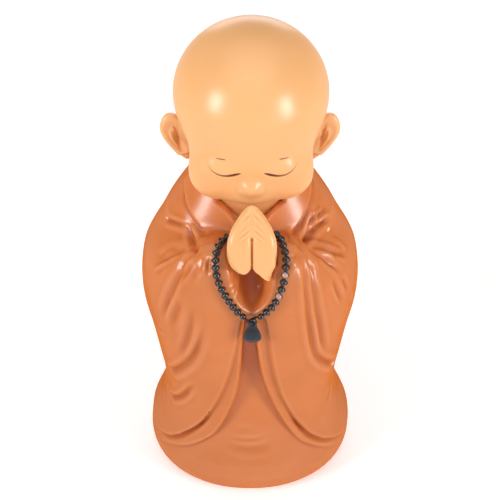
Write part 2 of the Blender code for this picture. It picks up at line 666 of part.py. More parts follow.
def add_pendant():
    """A flat drop that swells towards its foot, with a round eye at the top."""
    x, y, z = EYE_CENTRE
    share = (1 - np.cos(np.linspace(0.12, np.pi - 0.12, 18))) / 2
    top = EYE_OUTER_RADIUS / PENDANT_LENGTH
    knots = (2 * top, 0.38, 0.50, 0.65, 0.80, 1)
    half = curve_through(share, knots, (1.75, 1.95, 2.55, 3.15, PENDANT_HALF_WIDTH, PENDANT_HALF_WIDTH))
    half *= np.sqrt(1 - np.clip((share - 0.78) / 0.22, 0, 1) ** 2.4 + 0.004)
    ring = EYE_OUTER_RADIUS * np.sqrt(np.clip(1 - ((share - top) / top) ** 2, 0.0, 1) + 0.004)
    half = np.where(share < top, ring, np.maximum(ring, half))
    swell = curve_through(share, (0, 0.1, 0.3, 0.5, 0.72, 1), (0.45, 0.6, 0.7, 0.95, 1, 0.9))
    thick = PENDANT_THICKNESS / 2 * swell
    thick *= np.sqrt(1 - np.clip((share - 0.72) / 0.28, 0, 1) ** 2 + 0.01)
    around = np.linspace(0, 2 * np.pi, 20, endpoint=False)
    rows = []
    for s, a, b in zip(share, half, thick):
        height = z + EYE_OUTER_RADIUS - s * PENDANT_LENGTH
        rows.append(np.stack([x + a * np.sin(around), y - b * np.cos(around), np.full(20, height)], -1))
    verts, faces = closed_grid(np.array(rows)[::-1])
    pendant = add_object("pendant", verts, faces, None)
    ring = np.stack([np.cos(around), 0 * around, np.sin(around)], -1) * EYE_HOLE_RADIUS
    ends = np.array([ring + (x, y - 3, z), ring + (x, y + 3, z)])
    verts, faces = closed_grid(ends[::-1])
    cut_through(pendant, add_object("bore", verts, faces, None))
    pendant.data.materials.append(paint("pendant_gloss", (0.016, 0.020, 0.028), 0.22))
    shade(pendant, True)
    return pendant


def main():
    for obj in list(bpy.data.objects):
        bpy.data.objects.remove(obj)
    add_figure()
    add_necklace()
    add_pendant()


main()
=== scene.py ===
import math
from functools import partial

import bpy
import numpy as np
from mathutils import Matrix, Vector


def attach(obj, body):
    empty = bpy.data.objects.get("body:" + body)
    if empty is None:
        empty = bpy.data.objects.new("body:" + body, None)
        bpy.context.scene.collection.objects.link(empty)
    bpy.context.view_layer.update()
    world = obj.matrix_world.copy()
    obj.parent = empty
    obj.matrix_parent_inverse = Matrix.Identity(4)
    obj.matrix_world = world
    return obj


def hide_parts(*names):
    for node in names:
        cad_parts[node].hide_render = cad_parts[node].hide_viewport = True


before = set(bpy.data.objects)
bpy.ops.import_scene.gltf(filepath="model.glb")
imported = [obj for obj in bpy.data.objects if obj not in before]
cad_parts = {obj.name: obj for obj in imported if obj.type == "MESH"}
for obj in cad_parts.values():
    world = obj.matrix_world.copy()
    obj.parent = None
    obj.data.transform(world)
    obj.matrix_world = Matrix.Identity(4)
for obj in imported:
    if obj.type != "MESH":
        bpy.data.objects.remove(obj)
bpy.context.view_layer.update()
print("frame loaded")

scene = bpy.context.scene
unit = 0.001  # shapes below are worked out in millimetres and stored in metres

# camera: at the photograph's height and distance, looking down on the figure
camera = {
    "elevation": 38.0,
    "distance": 0.62,
    "aim": (0.0, 0.0, 0.098),
    "focalPixels": 1545.0,
    "framePixels": 500,
    "sensor": 36.0,
}


def addCamera():
    # in front of the aim and above it, back by the distance at the elevation's angle
    data = bpy.data.cameras.new("camera")
    obj = bpy.data.objects.new("camera", data)
    scene.collection.objects.link(obj)
    rise = math.radians(camera["elevation"])
    aim = Vector(camera["aim"])
    obj.location = aim + Vector((0, -math.cos(rise), math.sin(rise))) * camera["distance"]
    obj.rotation_euler = (math.pi / 2 - rise, 0, 0)
    data.sensor_width = camera["sensor"]
    data.lens = camera["sensor"] * camera["focalPixels"] / camera["framePixels"]
    scene.camera = obj


addCamera()


# numeric helpers
def curveThrough(x, knots, values):
    # cubic Hermite curve through the knots, slopes taken between neighbours
    k = np.asarray(knots, float)
    v = np.asarray(values, float)
    slope = np.gradient(v, k)
    x = np.clip(x, k[0], k[-1])
    i = np.clip(np.searchsorted(k, x, side="right") - 1, 0, len(k) - 2)
    h = k[i + 1] - k[i]
    t = (x - k[i]) / h
    rise = (3 - 2 * t) * t * t
    return v[i] * (1 - rise) + v[i + 1] * rise + h * t * (1 - t) * ((1 - t) * slope[i] - t * slope[i + 1])


def ease(x, low, high):
    # 0 below low, 1 above high, smooth between
    t = np.clip((x - low) / (high - low), 0, 1)
    return t * t * (3 - 2 * t)


def joined(a, b, blend):
    # union of two distance fields, rounded over the width blend
    h = np.clip(0.5 + 0.5 * (b - a) / blend, 0, 1)
    return b + (a - b) * h - blend * h * (1 - h)


def common(a, b, blend):
    # the part inside both fields, rounded over the width blend
    return -joined(-a, -b, blend)


def taperedRod(p, start, end, radiusStart, radiusEnd):
    # distance to a rod whose radius runs evenly from one end to the other
    a = np.array(start, float)
    d = np.array(end, float) - a
    t = np.clip(((p - a) @ d) / (d @ d), 0, 1)
    q = p - (a + t[..., None] * d)
    return np.sqrt((q ** 2).sum(-1)) - (radiusStart + (radiusEnd - radiusStart) * t)


def ellipsoid(p, centre, radii):
    # near distance to an ellipsoid: length of (p / radii) less one, divided by how fast that grows
    q = (p - np.array(centre, float)) / np.array(radii, float)
    length = np.sqrt((q ** 2).sum(-1))
    slope = np.sqrt(((q / np.array(radii, float)) ** 2).sum(-1)) + 1e-9
    return length * (length - 1) / slope


def smoothPath(points, steps):
    # Catmull-Rom curve through the points
    q = np.array(points, float)
    q = np.vstack([2 * q[0] - q[1], q, 2 * q[-1] - q[-2]])
    t = (np.arange(steps) / steps)[:, None]
    spans = []
    for i in range(1, len(q) - 2):
        a, b, c, d = q[i - 1], q[i], q[i + 1], q[i + 2]
        span = 2 * b + (c - a) * t + (2 * a - 5 * b + 4 * c - d) * t ** 2 + (3 * b - a - 3 * c + d) * t ** 3
        spans.append(span / 2)
    return np.vstack(spans + [q[-2][None]])


def nearPath(p, path):
    # distance from each point to the path, and the share of its length there
    best = np.full(p.shape[:-1], 1e9)
    share = np.zeros(p.shape[:-1])
    run = np.r_[0, np.cumsum(np.linalg.norm(np.diff(path, axis=0), axis=1))]
    for i in range(len(path) - 1):
        d = path[i + 1] - path[i]
        t = np.clip(((p - path[i]) @ d) / (d @ d), 0, 1)
        gap = np.linalg.norm(p - path[i] - t[..., None] * d, axis=-1)
        nearer = gap < best
        best = np.where(nearer, gap, best)
        share = np.where(nearer, (run[i] + t * (run[i + 1] - run[i])) / run[-1], share)
    return best, share


def fieldNormal(p, field, reach=0.05):
    # the field's slope along each axis, from the points either side, made one long
    grads = [field(p + axis * reach) - field(p - axis * reach) for axis in np.eye(3)]
    n = np.stack(grads, -1)
    return n / (np.linalg.norm(n, axis=-1, keepdims=True) + 1e-12)


def castInwards(origin, direction, field, far, steps):
    # each ray is followed from its far end back towards its origin until it enters the field,
    # and the last step is then halved until it is small
    shape = origin.shape[:-1]
    low = np.zeros(shape)
    high = np.full(shape, far / steps)
    found = np.zeros(shape, bool)
    for t in np.linspace(far, 0, steps + 1)[1:]:
        left = ~found
        if not left.any():
            break
        hit = np.zeros(shape, bool)
        hit[left] = field(origin[left] + t * direction[left]) < 0
        low = np.where(hit, t, low)
        high = np.where(hit, t + far / steps, high)
        found |= hit
    for _ in range(14):
        middle = (low + high) / 2
        inside = field(origin + middle[..., None] * direction) < 0
        low = np.where(inside, middle, low)
        high = np.where(inside, high, middle)
    return origin + ((low + high) / 2)[..., None] * direction


def ballRows(around, rows, centre, field, far, front=0.0, steps=80):
    # rays from a centre over all directions, drawn together towards the front
    u = np.linspace(0, 2 * np.pi, around, endpoint=False)
    u = u - front * np.sin(u)
    v = np.linspace(math.pi - 0.04, 0.04, rows)
    turn, tilt = np.meshgrid(u, v)
    out = np.sin(tilt)
    direction = np.stack([out * np.sin(turn), -out * np.cos(turn), np.cos(tilt)], -1)
    origin = np.zeros_like(direction) + np.array(centre, float)
    return castInwards(origin, direction, field, far, steps)


def bulge(rows, passes=2):
    # how far each point stands out from the mean of its neighbours: + on ridges, - in creases
    ringBefore = np.vstack([rows[:1], rows[:-1]])
    ringAfter = np.vstack([rows[1:], rows[-1:]])
    beside = np.roll(rows, 1, 1) + np.roll(rows, -1, 1)
    mean = (ringBefore + ringAfter + beside) / 4
    along = np.roll(rows, -1, 1) - np.roll(rows, 1, 1)
    up = ringAfter - ringBefore
    n = np.cross(along, up)
    n /= np.linalg.norm(n, axis=-1, keepdims=True) + 1e-12
    size = (np.linalg.norm(along, axis=-1) + np.linalg.norm(up, axis=-1)) / 4 + 1e-6
    value = ((rows - mean) * n).sum(-1) / size ** 2
    for _ in range(passes):
        value = (value * 2 + np.roll(value, 1, 1) + np.roll(value, -1, 1)) / 4
        below, above = np.vstack([value[:1], value[:-1]]), np.vstack([value[1:], value[-1:]])
        value = (value * 2 + below + above) / 4
    return value


def addGrid(name, rows, material, values=None):
    # a grid of rings closed in a point at each end becomes one smooth mesh
    count, around = rows.shape[:2]
    index = np.arange(count * around).reshape(count, around)
    turned = np.roll(index, -1, 1)
    quads = np.stack([index[:-1], turned[:-1], turned[1:], index[1:]], -1).reshape(-1, 4)
    low, high = count * around, count * around + 1
    lowFan = np.stack([np.full(around, low), turned[0], index[0]], -1)
    highFan = np.stack([np.full(around, high), index[-1], turned[-1]], -1)
    verts = np.vstack([rows.reshape(-1, 3), rows[0].mean(0), rows[-1].mean(0)]) * unit
    mesh = bpy.data.meshes.new(name)
    mesh.from_pydata(verts.tolist(), [], quads.tolist() + lowFan.tolist() + highFan.tolist())
    mesh.polygons.foreach_set("use_smooth", [True] * len(mesh.polygons))
    for key, value in (values or {}).items():
        layer = mesh.attributes.new(key, "FLOAT", "POINT")
        flat = np.r_[value.reshape(-1), value[0].mean(), value[-1].mean()].astype(np.float32)
        layer.data.foreach_set("value", flat)
    mesh.materials.append(material)
    mesh.update()
    obj = bpy.data.objects.new(name, mesh)
    scene.collection.objects.link(obj)
    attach(obj, "root")
    return obj


def addFigurePiece(name, rows, material):
    # a piece of the painted figure, with the bulge that its paint reads
    obj = addGrid(name, rows, material, {"bulge": bulge(rows)})
    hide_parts("monk_figure")


# materials
def nodeGroup(name, inputs, outputs):
    # an empty shader group with named inputs and outputs
    group = bpy.data.node_groups.new(name, "ShaderNodeTree")
    for label, kind, value in inputs:
        socket = group.interface.new_socket(label, in_out="INPUT", socket_type=kind)
        if value is not None:
            socket.default_value = value
    for label, kind in outputs:
        group.interface.new_socket(label, in_out="OUTPUT", socket_type=kind)
    return group, group.nodes.new("NodeGroupInput"), group.nodes.new("NodeGroupOutput")


def addNode(tree, kind, settings=None, inputs=None):
    # one node, its settings and its inputs' values
    node = tree.nodes.new(kind)
    for key, value in (settings or {}).items():
        setattr(node, key, value)
    for key, value in (inputs or {}).items():
        node.inputs[key].default_value = value
    return node


def mathNode(tree, operation, a, b=None, clamp=False):
    # one Math node on numbers or on other nodes' outputs
    node = addNode(tree, "ShaderNodeMath", {"operation": operation, "use_clamp": clamp})
    for slot, value in enumerate((a, b)):
        if value is None:
            continue
        if hasattr(value, "is_linked"):
            tree.links.new(value, node.inputs[slot])
        else:
            node.inputs[slot].default_value = value
    return node.outputs[0]


def mixColour(tree, factor, a, b):
    # from colour a at factor 0 to colour b at factor 1
    node = addNode(tree, "ShaderNodeMix", {"data_type": "RGBA"})
    for slot, value in ((0, factor), (6, a), (7, b)):
        if hasattr(value, "is_linked"):
            tree.links.new(value, node.inputs[slot])
        else:
            node.inputs[slot].default_value = value
    return node.outputs[2]


def objectNoise(tree, scale, detail, roughness=0.5):
    # noise that stays put on the piece
    place = addNode(tree, "ShaderNodeTexCoord")
    values = {"Scale": scale, "Detail": detail, "Roughness": roughness}
    noise = addNode(tree, "ShaderNodeTexNoise", None, values)
    tree.links.new(place.outputs["Object"], noise.inputs["Vector"])
    return noise.outputs["Fac"]


def objectPlace(tree):
    # where the point is on the piece: x, y and z in metres
    place = addNode(tree, "ShaderNodeTexCoord")
    split = addNode(tree, "ShaderNodeSeparateXYZ")
    tree.links.new(place.outputs["Object"], split.inputs[0])
    return split.outputs


def linkBump(tree, shader, height, strength, distance):
    # the height tilts the shader's normal
    bump = addNode(tree, "ShaderNodeBump", None, {"Strength": strength, "Distance": distance})
    tree.links.new(height, bump.inputs["Height"])
    tree.links.new(bump.outputs["Normal"], shader.inputs["Normal"])


def buildPaintCoat():
    # brushed and sprayed paint on a casting: cloudy tone and faint orange peel, with painted shade darkening
    # the creases and a painted highlight paling the edges
    inputs = (
        ("Colour", "NodeSocketColor", (0.6, 0.24, 0.09, 1)),
        # the dark colour is the cloud's darker tone and also the painted shade in creases; the pale colour is
        # its paler tone and also the painted highlight on edges
        ("Dark Tone And Crease Shade", "NodeSocketColor", (0.35, 0.1, 0.03, 1)),
        ("Pale Tone And Edge Highlight", "NodeSocketColor", (0.85, 0.5, 0.3, 1)),
        ("Cloud", "NodeSocketFloat", 0.12),
        # Crease sets how strong the painted shade in creases is, Edge how strong the painted highlight on edges
        # is
        ("Crease", "NodeSocketFloat", 0.6),
        ("Edge", "NodeSocketFloat", 0.5),
    )
    outputs = (("Colour", "NodeSocketColor"), ("Roughness", "NodeSocketFloat"), ("Height", "NodeSocketFloat"))
    group, source, result = nodeGroup("paintCoat", inputs, outputs)
    calc = partial(mathNode, group)
    clouds = objectNoise(group, 55.0, 3.0, 0.55)
    peel = objectNoise(group, 900.0, 2.0)
    dust = objectNoise(group, 2600.0, 1.0)
    shape = addNode(group, "ShaderNodeAttribute", {"attribute_name": "bulge"}).outputs["Fac"]
    # painted highlight: convex edges go towards the pale colour
    ridge = calc("MULTIPLY", calc("MAXIMUM", shape, 0.0), source.outputs["Edge"], True)
    # painted shade: hollows and creases go towards the dark colour
    sunk = calc("MAXIMUM", calc("MULTIPLY", shape, -1.0), 0.0)
    crease = calc("MULTIPLY", sunk, source.outputs["Crease"], True)
    cloud = calc("MULTIPLY", calc("SUBTRACT", clouds, 0.5), source.outputs["Cloud"])
    toned = source.outputs["Colour"]
    for mask, label in (
        (calc("MULTIPLY", cloud, 2.0, True), "Pale Tone And Edge Highlight"),
        (calc("MULTIPLY", cloud, -2.0, True), "Dark Tone And Crease Shade"),
        (crease, "Dark Tone And Crease Shade"),
        (ridge, "Pale Tone And Edge Highlight"),
    ):
        toned = mixColour(group, mask, toned, source.outputs[label])
    rough = calc("ADD", calc("MULTIPLY", clouds, 0.14), 0.26)
    height = calc("ADD", calc("MULTIPLY", peel, 0.7), calc("MULTIPLY", dust, 0.15))
    for value, label in ((toned, "Colour"), (rough, "Roughness"), (height, "Height")):
        group.links.new(value, result.inputs[label])
    return group


paintCoat = buildPaintCoat()


def newMaterial(name):
    material = bpy.data.materials.new(name)
    material.use_nodes = True
    return material, material.node_tree, material.node_tree.nodes["Principled BSDF"]


def paintedMaterial(name, finish, marks=None):
    # satin paint: the shared coat, then its marks; the gloss falls as (1 - rimLoss * facing) squared
    material, tree, shader = newMaterial(name)
    calc = partial(mathNode, tree)
    levels = {label: finish[label.lower()] for label in ("Cloud", "Crease", "Edge")}
    paint = addNode(tree, "ShaderNodeGroup", {"node_tree": paintCoat}, levels)
    for label, colour in zip(("Colour", "Dark Tone And Crease Shade", "Pale Tone And Edge Highlight"), finish["colours"]):
        paint.inputs[label].default_value = (*colour, 1)
    colour = paint.outputs["Colour"]
    if marks:
        colour = marks(tree, colour)
    tree.links.new(colour, shader.inputs["Base Color"])
    tree.links.new(paint.outputs["Roughness"], shader.inputs["Roughness"])
    linkBump(tree, shader, paint.outputs["Height"], 0.35, finish["bump"])
    shader.inputs["Coat Roughness"].default_value = 0.22
    turned = addNode(tree, "ShaderNodeLayerWeight", None, {"Blend": 0.5})
    fall = calc("ADD", calc("MULTIPLY", turned.outputs["Facing"], -finish["rimLoss"]), 1.0, True)
    for label, level in (("Coat Weight", finish["coat"]), ("Specular IOR Level", finish["gloss"])):
        tree.links.new(calc("MULTIPLY", calc("POWER", fall, 2.0), level), shader.inputs[label])
    return material


# painted lines of the face, in millimetres, on each side of the nose: an arc whose height is
# top + slope * d + bow * d^2 + cubic * d^3, where d is the distance from the arc's middle
# and inner is how much wider the line is at its inner end
faceLines = {
    "brow": {
        "middle": 11.6, "half": 1.9, "top": 159.0, "slope": -0.08, "bow": -0.02, "cubic": 0.0,
        "width": 0.26, "inner": 0.05, "strength": 0.85,
    },
    "lash": {
        "middle": 10.5, "half": 6.4, "top": 152.2, "slope": 0.0, "bow": 0.064, "cubic": 0.0042,
        "width": 0.50, "inner": 0.38, "strength": 1.0,
    },
}
faceTints = {
    "middle": 0.9,
    "frontBefore": -15,
    "line": (0.13, 0.026, 0.007, 1),
    "blush": (0.86, 0.34, 0.12, 1),
    "blushAside": 13.5,
    "blushHeight": 146.5,
    "blushRadius": 8.0,
    "blushStrength": 0.5,
    # painted shade on the throat, under the chin and the hands
    "throat": (0.42, 0.14, 0.035, 1),
    "throatShadeTop": 135.5,
    "throatShadeFade": 4.0,
    "throatShadeStrength": 0.75,
}


def faceMarks(tree, colour):
    # each line is a soft band about its arc, thinning to its ends; blush is a round patch on each cheek; below
    # the throat's top height the skin is darkened as painted shade under the chin and hands
    calc = partial(mathNode, tree)
    across, depth, height = objectPlace(tree)
    tint = faceTints
    x = calc("MULTIPLY", calc("ABSOLUTE", calc("SUBTRACT", across, tint["middle"] * unit)), 1 / unit)
    z = calc("MULTIPLY", height, 1 / unit)
    front = calc("LESS_THAN", depth, tint["frontBefore"] * unit)
    for line in faceLines.values():
        off = calc("SUBTRACT", x, line["middle"])
        bend = calc("ADD", calc("MULTIPLY", off, line["cubic"]), line["bow"])
        arc = calc("ADD", calc("MULTIPLY", calc("MULTIPLY", off, off), bend), line["top"])
        arc = calc("ADD", arc, calc("MULTIPLY", off, line["slope"]))
        away = calc("ABSOLUTE", calc("SUBTRACT", z, arc))
        reach = calc("DIVIDE", calc("ABSOLUTE", off), line["half"])
        thick = calc("ADD", calc("MULTIPLY", off, -line["inner"] / line["half"]), line["width"])
        thin = calc("MULTIPLY", calc("SUBTRACT", 1.0, calc("POWER", reach, 5.0), True), thick)
        inside = calc("SUBTRACT", 1.0, calc("DIVIDE", away, calc("ADD", thin, 0.001)), True)
        soft = calc("MULTIPLY", inside, 3.0, True)
        mask = calc("MULTIPLY", calc("MULTIPLY", soft, front), line["strength"])
        colour = mixColour(tree, mask, colour, tint["line"])
    patch = 1 / tint["blushRadius"]
    aside = calc("POWER", calc("MULTIPLY", calc("SUBTRACT", x, tint["blushAside"]), patch), 2.0)
    above = calc("POWER", calc("MULTIPLY", calc("SUBTRACT", z, tint["blushHeight"]), patch), 2.0)
    blush = calc("MULTIPLY", calc("SUBTRACT", 1.0, calc("ADD", aside, above), True), front)
    colour = mixColour(tree, calc("MULTIPLY", blush, tint["blushStrength"]), colour, tint["blush"])
    # painted shade: the skin darkens towards brown below the throat's top height
    throat = calc("MULTIPLY", calc("SUBTRACT", tint["throatShadeTop"], z), 1 / tint["throatShadeFade"], True)
    return mixColour(tree, calc("MULTIPLY", throat, tint["throatShadeStrength"]), colour, tint["throat"])


# small marks of wear on the robe's front, and two painted highlights on the upper arms: x and height in
# millimetres, radius, colour
wearAndPaintedHighlights = (
    (-16.4, 43.4, 0.6, (0.10, 0.02, 0.008)),
    (-17.9, 39.7, 0.55, (0.10, 0.02, 0.008)),
    (-6.4, 112.3, 0.7, (0.84, 0.40, 0.17)),
    (-7.1, 114.8, 0.8, (0.84, 0.40, 0.17)),
    (-5.3, 109.9, 0.6, (0.84, 0.40, 0.17)),
    # the next two pale pink spots are painted highlights on the upper arms
    (-32.2, 120.0, 0.5, (0.80, 0.52, 0.38)),
    (30.3, 118.5, 0.6, (0.82, 0.58, 0.45)),
    (33.8, 55.7, 0.6, (0.85, 0.80, 0.74)),
)


def robeMarks(tree, colour):
    # each mark fills where its distance from (x, height) is under its radius, with a soft edge
    calc = partial(mathNode, tree)
    across, depth, height = objectPlace(tree)
    front = calc("LESS_THAN", depth, -5 * unit)
    for x, z, radius, shade in wearAndPaintedHighlights:
        aside = calc("POWER", calc("ABSOLUTE", calc("SUBTRACT", across, x * unit)), 2.0)
        above = calc("POWER", calc("ABSOLUTE", calc("SUBTRACT", height, z * unit)), 2.0)
        away = calc("MULTIPLY", calc("SQRT", calc("ADD", aside, above)), 1 / (radius * unit))
        mask = calc("MULTIPLY", calc("SUBTRACT", 1.0, away), 3.0, True)
        colour = mixColour(tree, calc("MULTIPLY", mask, front), colour, (*shade, 1))
    return colour


# colours: the paint itself, its darker tone that also paints shade in creases, its paler tone that also paints
# highlight on edges; crease and edge set that painted shade and highlight
finishes = {
    "robe": {
        "colours": ((0.61, 0.174, 0.043), (0.27, 0.050, 0.010), (0.80, 0.36, 0.18)),
        "cloud": 0.16, "crease": 2.4, "edge": 1.6, "bump": 0.00008, "coat": 0.5, "gloss": 0.6,
        "rimLoss": 1.2,
    },
    "skin": {
        "colours": ((0.85, 0.43, 0.173), (0.55, 0.18, 0.05), (0.95, 0.62, 0.36)),
        "cloud": 0.10, "crease": 1.6, "edge": 0.4, "bump": 0.00005, "coat": 0.28, "gloss": 0.5,
        "rimLoss": 0.8,
    },
    "hands": {
        "colours": ((0.83, 0.42, 0.165), (0.55, 0.18, 0.05), (0.95, 0.63, 0.34)),
        "cloud": 0.10, "crease": 2.0, "edge": 0.7, "bump": 0.00005, "coat": 0.28, "gloss": 0.5,
        "rimLoss": 0.8,
    },
}

robePaint = paintedMaterial("robePaint", finishes["robe"], robeMarks)
headPaint = paintedMaterial("skinPaint", finishes["skin"], faceMarks)
handPaint = paintedMaterial("handsPaint", finishes["hands"])
print("materials ready")

# robe
robe = {
    "around": 350,
    "rows": 278,
    "crowding": 0.44,  # how far the columns are drawn together at the front
    "forearm": ((26.2, -7.5, 98.5), (12, -31.5, 114.5), 12.2, 11.8),
    "lobe": {"size": 0.035, "angle": 20, "width": 14},  # the sleeves stand out beside the opening
    "liningSetback": 2.0,
    "slit": {"depth": 1.5, "width": 0.9, "start": (22, 34), "end": (56, 70)},  # between hem and lining
    "evening": {"passes": 90, "depth": (0, 8), "low": (98, 108), "high": (124, 132)},
}
pocket = {
    "middle": 0.8,
    "z": (100, 103, 105, 107, 110, 113.5, 118, 122, 126, 134, 150),
    "half": (-3, 0.6, 2.9, 4.4, 5.7, 6.6, 7.8, 8.8, 10.3, 12.2, 14),
    "floorZ": (100, 103, 106, 110, 116, 122, 130),
    "floor": (-46, -42, -37.5, -33, -29, -26.5, -26.5),
    "hollow": 0.1,
}
skirt = {
    "top": 118,
    "power": 2.15,
    "z": (0, 3, 8, 13, 20, 30, 45, 70, 95, 120),
    "side": (38.8, 41.2, 42.5, 41.0, 38.0, 35.0, 34.0, 33.0, 31.0, 28.0),
    "front": (37.5, 39.8, 41.0, 40.0, 37.3, 35.0, 34.5, 34.3, 34.0, 22.0),
    "back": (34.5, 36.8, 37.6, 36.8, 33.5, 31.2, 30.0, 28.5, 26.0, 22.0),
}
sleeves = {
    "top": 116,
    "power": 2.35,
    "z": (0, 8, 14, 19, 25, 35, 45, 58, 71, 84, 96, 110, 120, 130, 140),
    "side": (43.2, 42.9, 42.2, 40.4, 37.8, 35.6, 35.9, 38.0, 40.1, 41.7, 41.3, 38, 30, 20, 10),
    "front": (43.0, 42.4, 41.2, 39.6, 38.2, 37.8, 38.6, 40.2, 42.0, 43.6, 44.2, 43, 36, 20, 10),
    "back": (34.0, 34.0, 33.0, 32.2, 31.6, 31.0, 30.6, 30.3, 30.0, 29.5, 29.0, 26, 22, 20, 10),
}
shoulders = {
    "top": 149,
    "power": 2.2,
    "z": (0, 40, 60, 70, 77, 84, 90, 96, 102, 108, 114, 120, 126, 131, 137, 142, 147, 151),
    "side": (
        24, 28, 32, 36.5, 39.8, 41.1, 41.3, 40.7, 39.5, 37.8, 35.8, 33.5, 30.4, 27.0, 23.2, 19.4, 14.6, 9.2,
    ),
    "front": (
        12, 16, 20, 23, 24.6, 25.2, 25.5, 25.7, 25.7, 25.5, 24.8, 23.8, 22.2, 20.3, 17.5, 14.7, 11.5, 8.0,
    ),
    "back": (
        16, 19, 23, 26, 27.8, 28.6, 29.0, 29.3, 29.5, 29.3, 28.9, 28.1, 26.7, 24.8, 21.5, 18.0, 13.5, 9.0,
    ),
}
# heights of the outer hem and of the lining's edge against the angle from the front
hem = {
    "angle": (
        -180, -135, -110, -90, -75, -62, -52, -45.7, -40.2, -34.2, -28.8, -23.4, -19.2, -15.3, -12.2, -9.8,
        -8.1, -6.4, -5.2, -3.5, 0, 5, 7.2, 8.2, 9.8, 11.1, 13.7, 17, 21.2, 26.5, 32.7, 38.4, 45.1, 52.3, 60,
        75, 90, 110, 135, 180,
    ),
    "height": (
        26, 24, 18, 14.5, 14, 16, 19.2, 22.8, 26.8, 31.6, 37.2, 44, 50.7, 58.2, 65.8, 73.1, 79.6, 86.3, 93,
        99.3, 100.3, 100.3, 99, 94.3, 86.4, 77.9, 67, 56.7, 48.4, 39.9, 32.2, 26.2, 21.2, 17.7, 14.8, 12,
        12.5, 17, 24, 26,
    ),
}
lining = {
    "angle": (
        -180, -135, -110, -90, -75, -62.3, -55.1, -49, -43.1, -35.1, -28, -22.7, -17.5, -13.5, -9.6, -6.9,
        -5.6, -4.8, -3.6, 0, 2.6, 3.7, 4.9, 7.3, 10.5, 14.4, 19.2, 25.5, 32.1, 38.4, 45.1, 52.8, 62, 75, 90,
        110, 135, 180,
    ),
    "height": (
        22, 20, 14, 10.5, 9.5, 11.1, 13.3, 15.3, 17.3, 21, 25.4, 29.6, 36.2, 43.3, 51.4, 60.7, 68.7, 78.8,
        92, 97, 95, 84.5, 75.9, 65.1, 56.5, 48.2, 40.2, 31.1, 23.9, 19.5, 16.3, 12.9, 10.5, 9, 9.5, 13, 20,
        22,
    ),
}

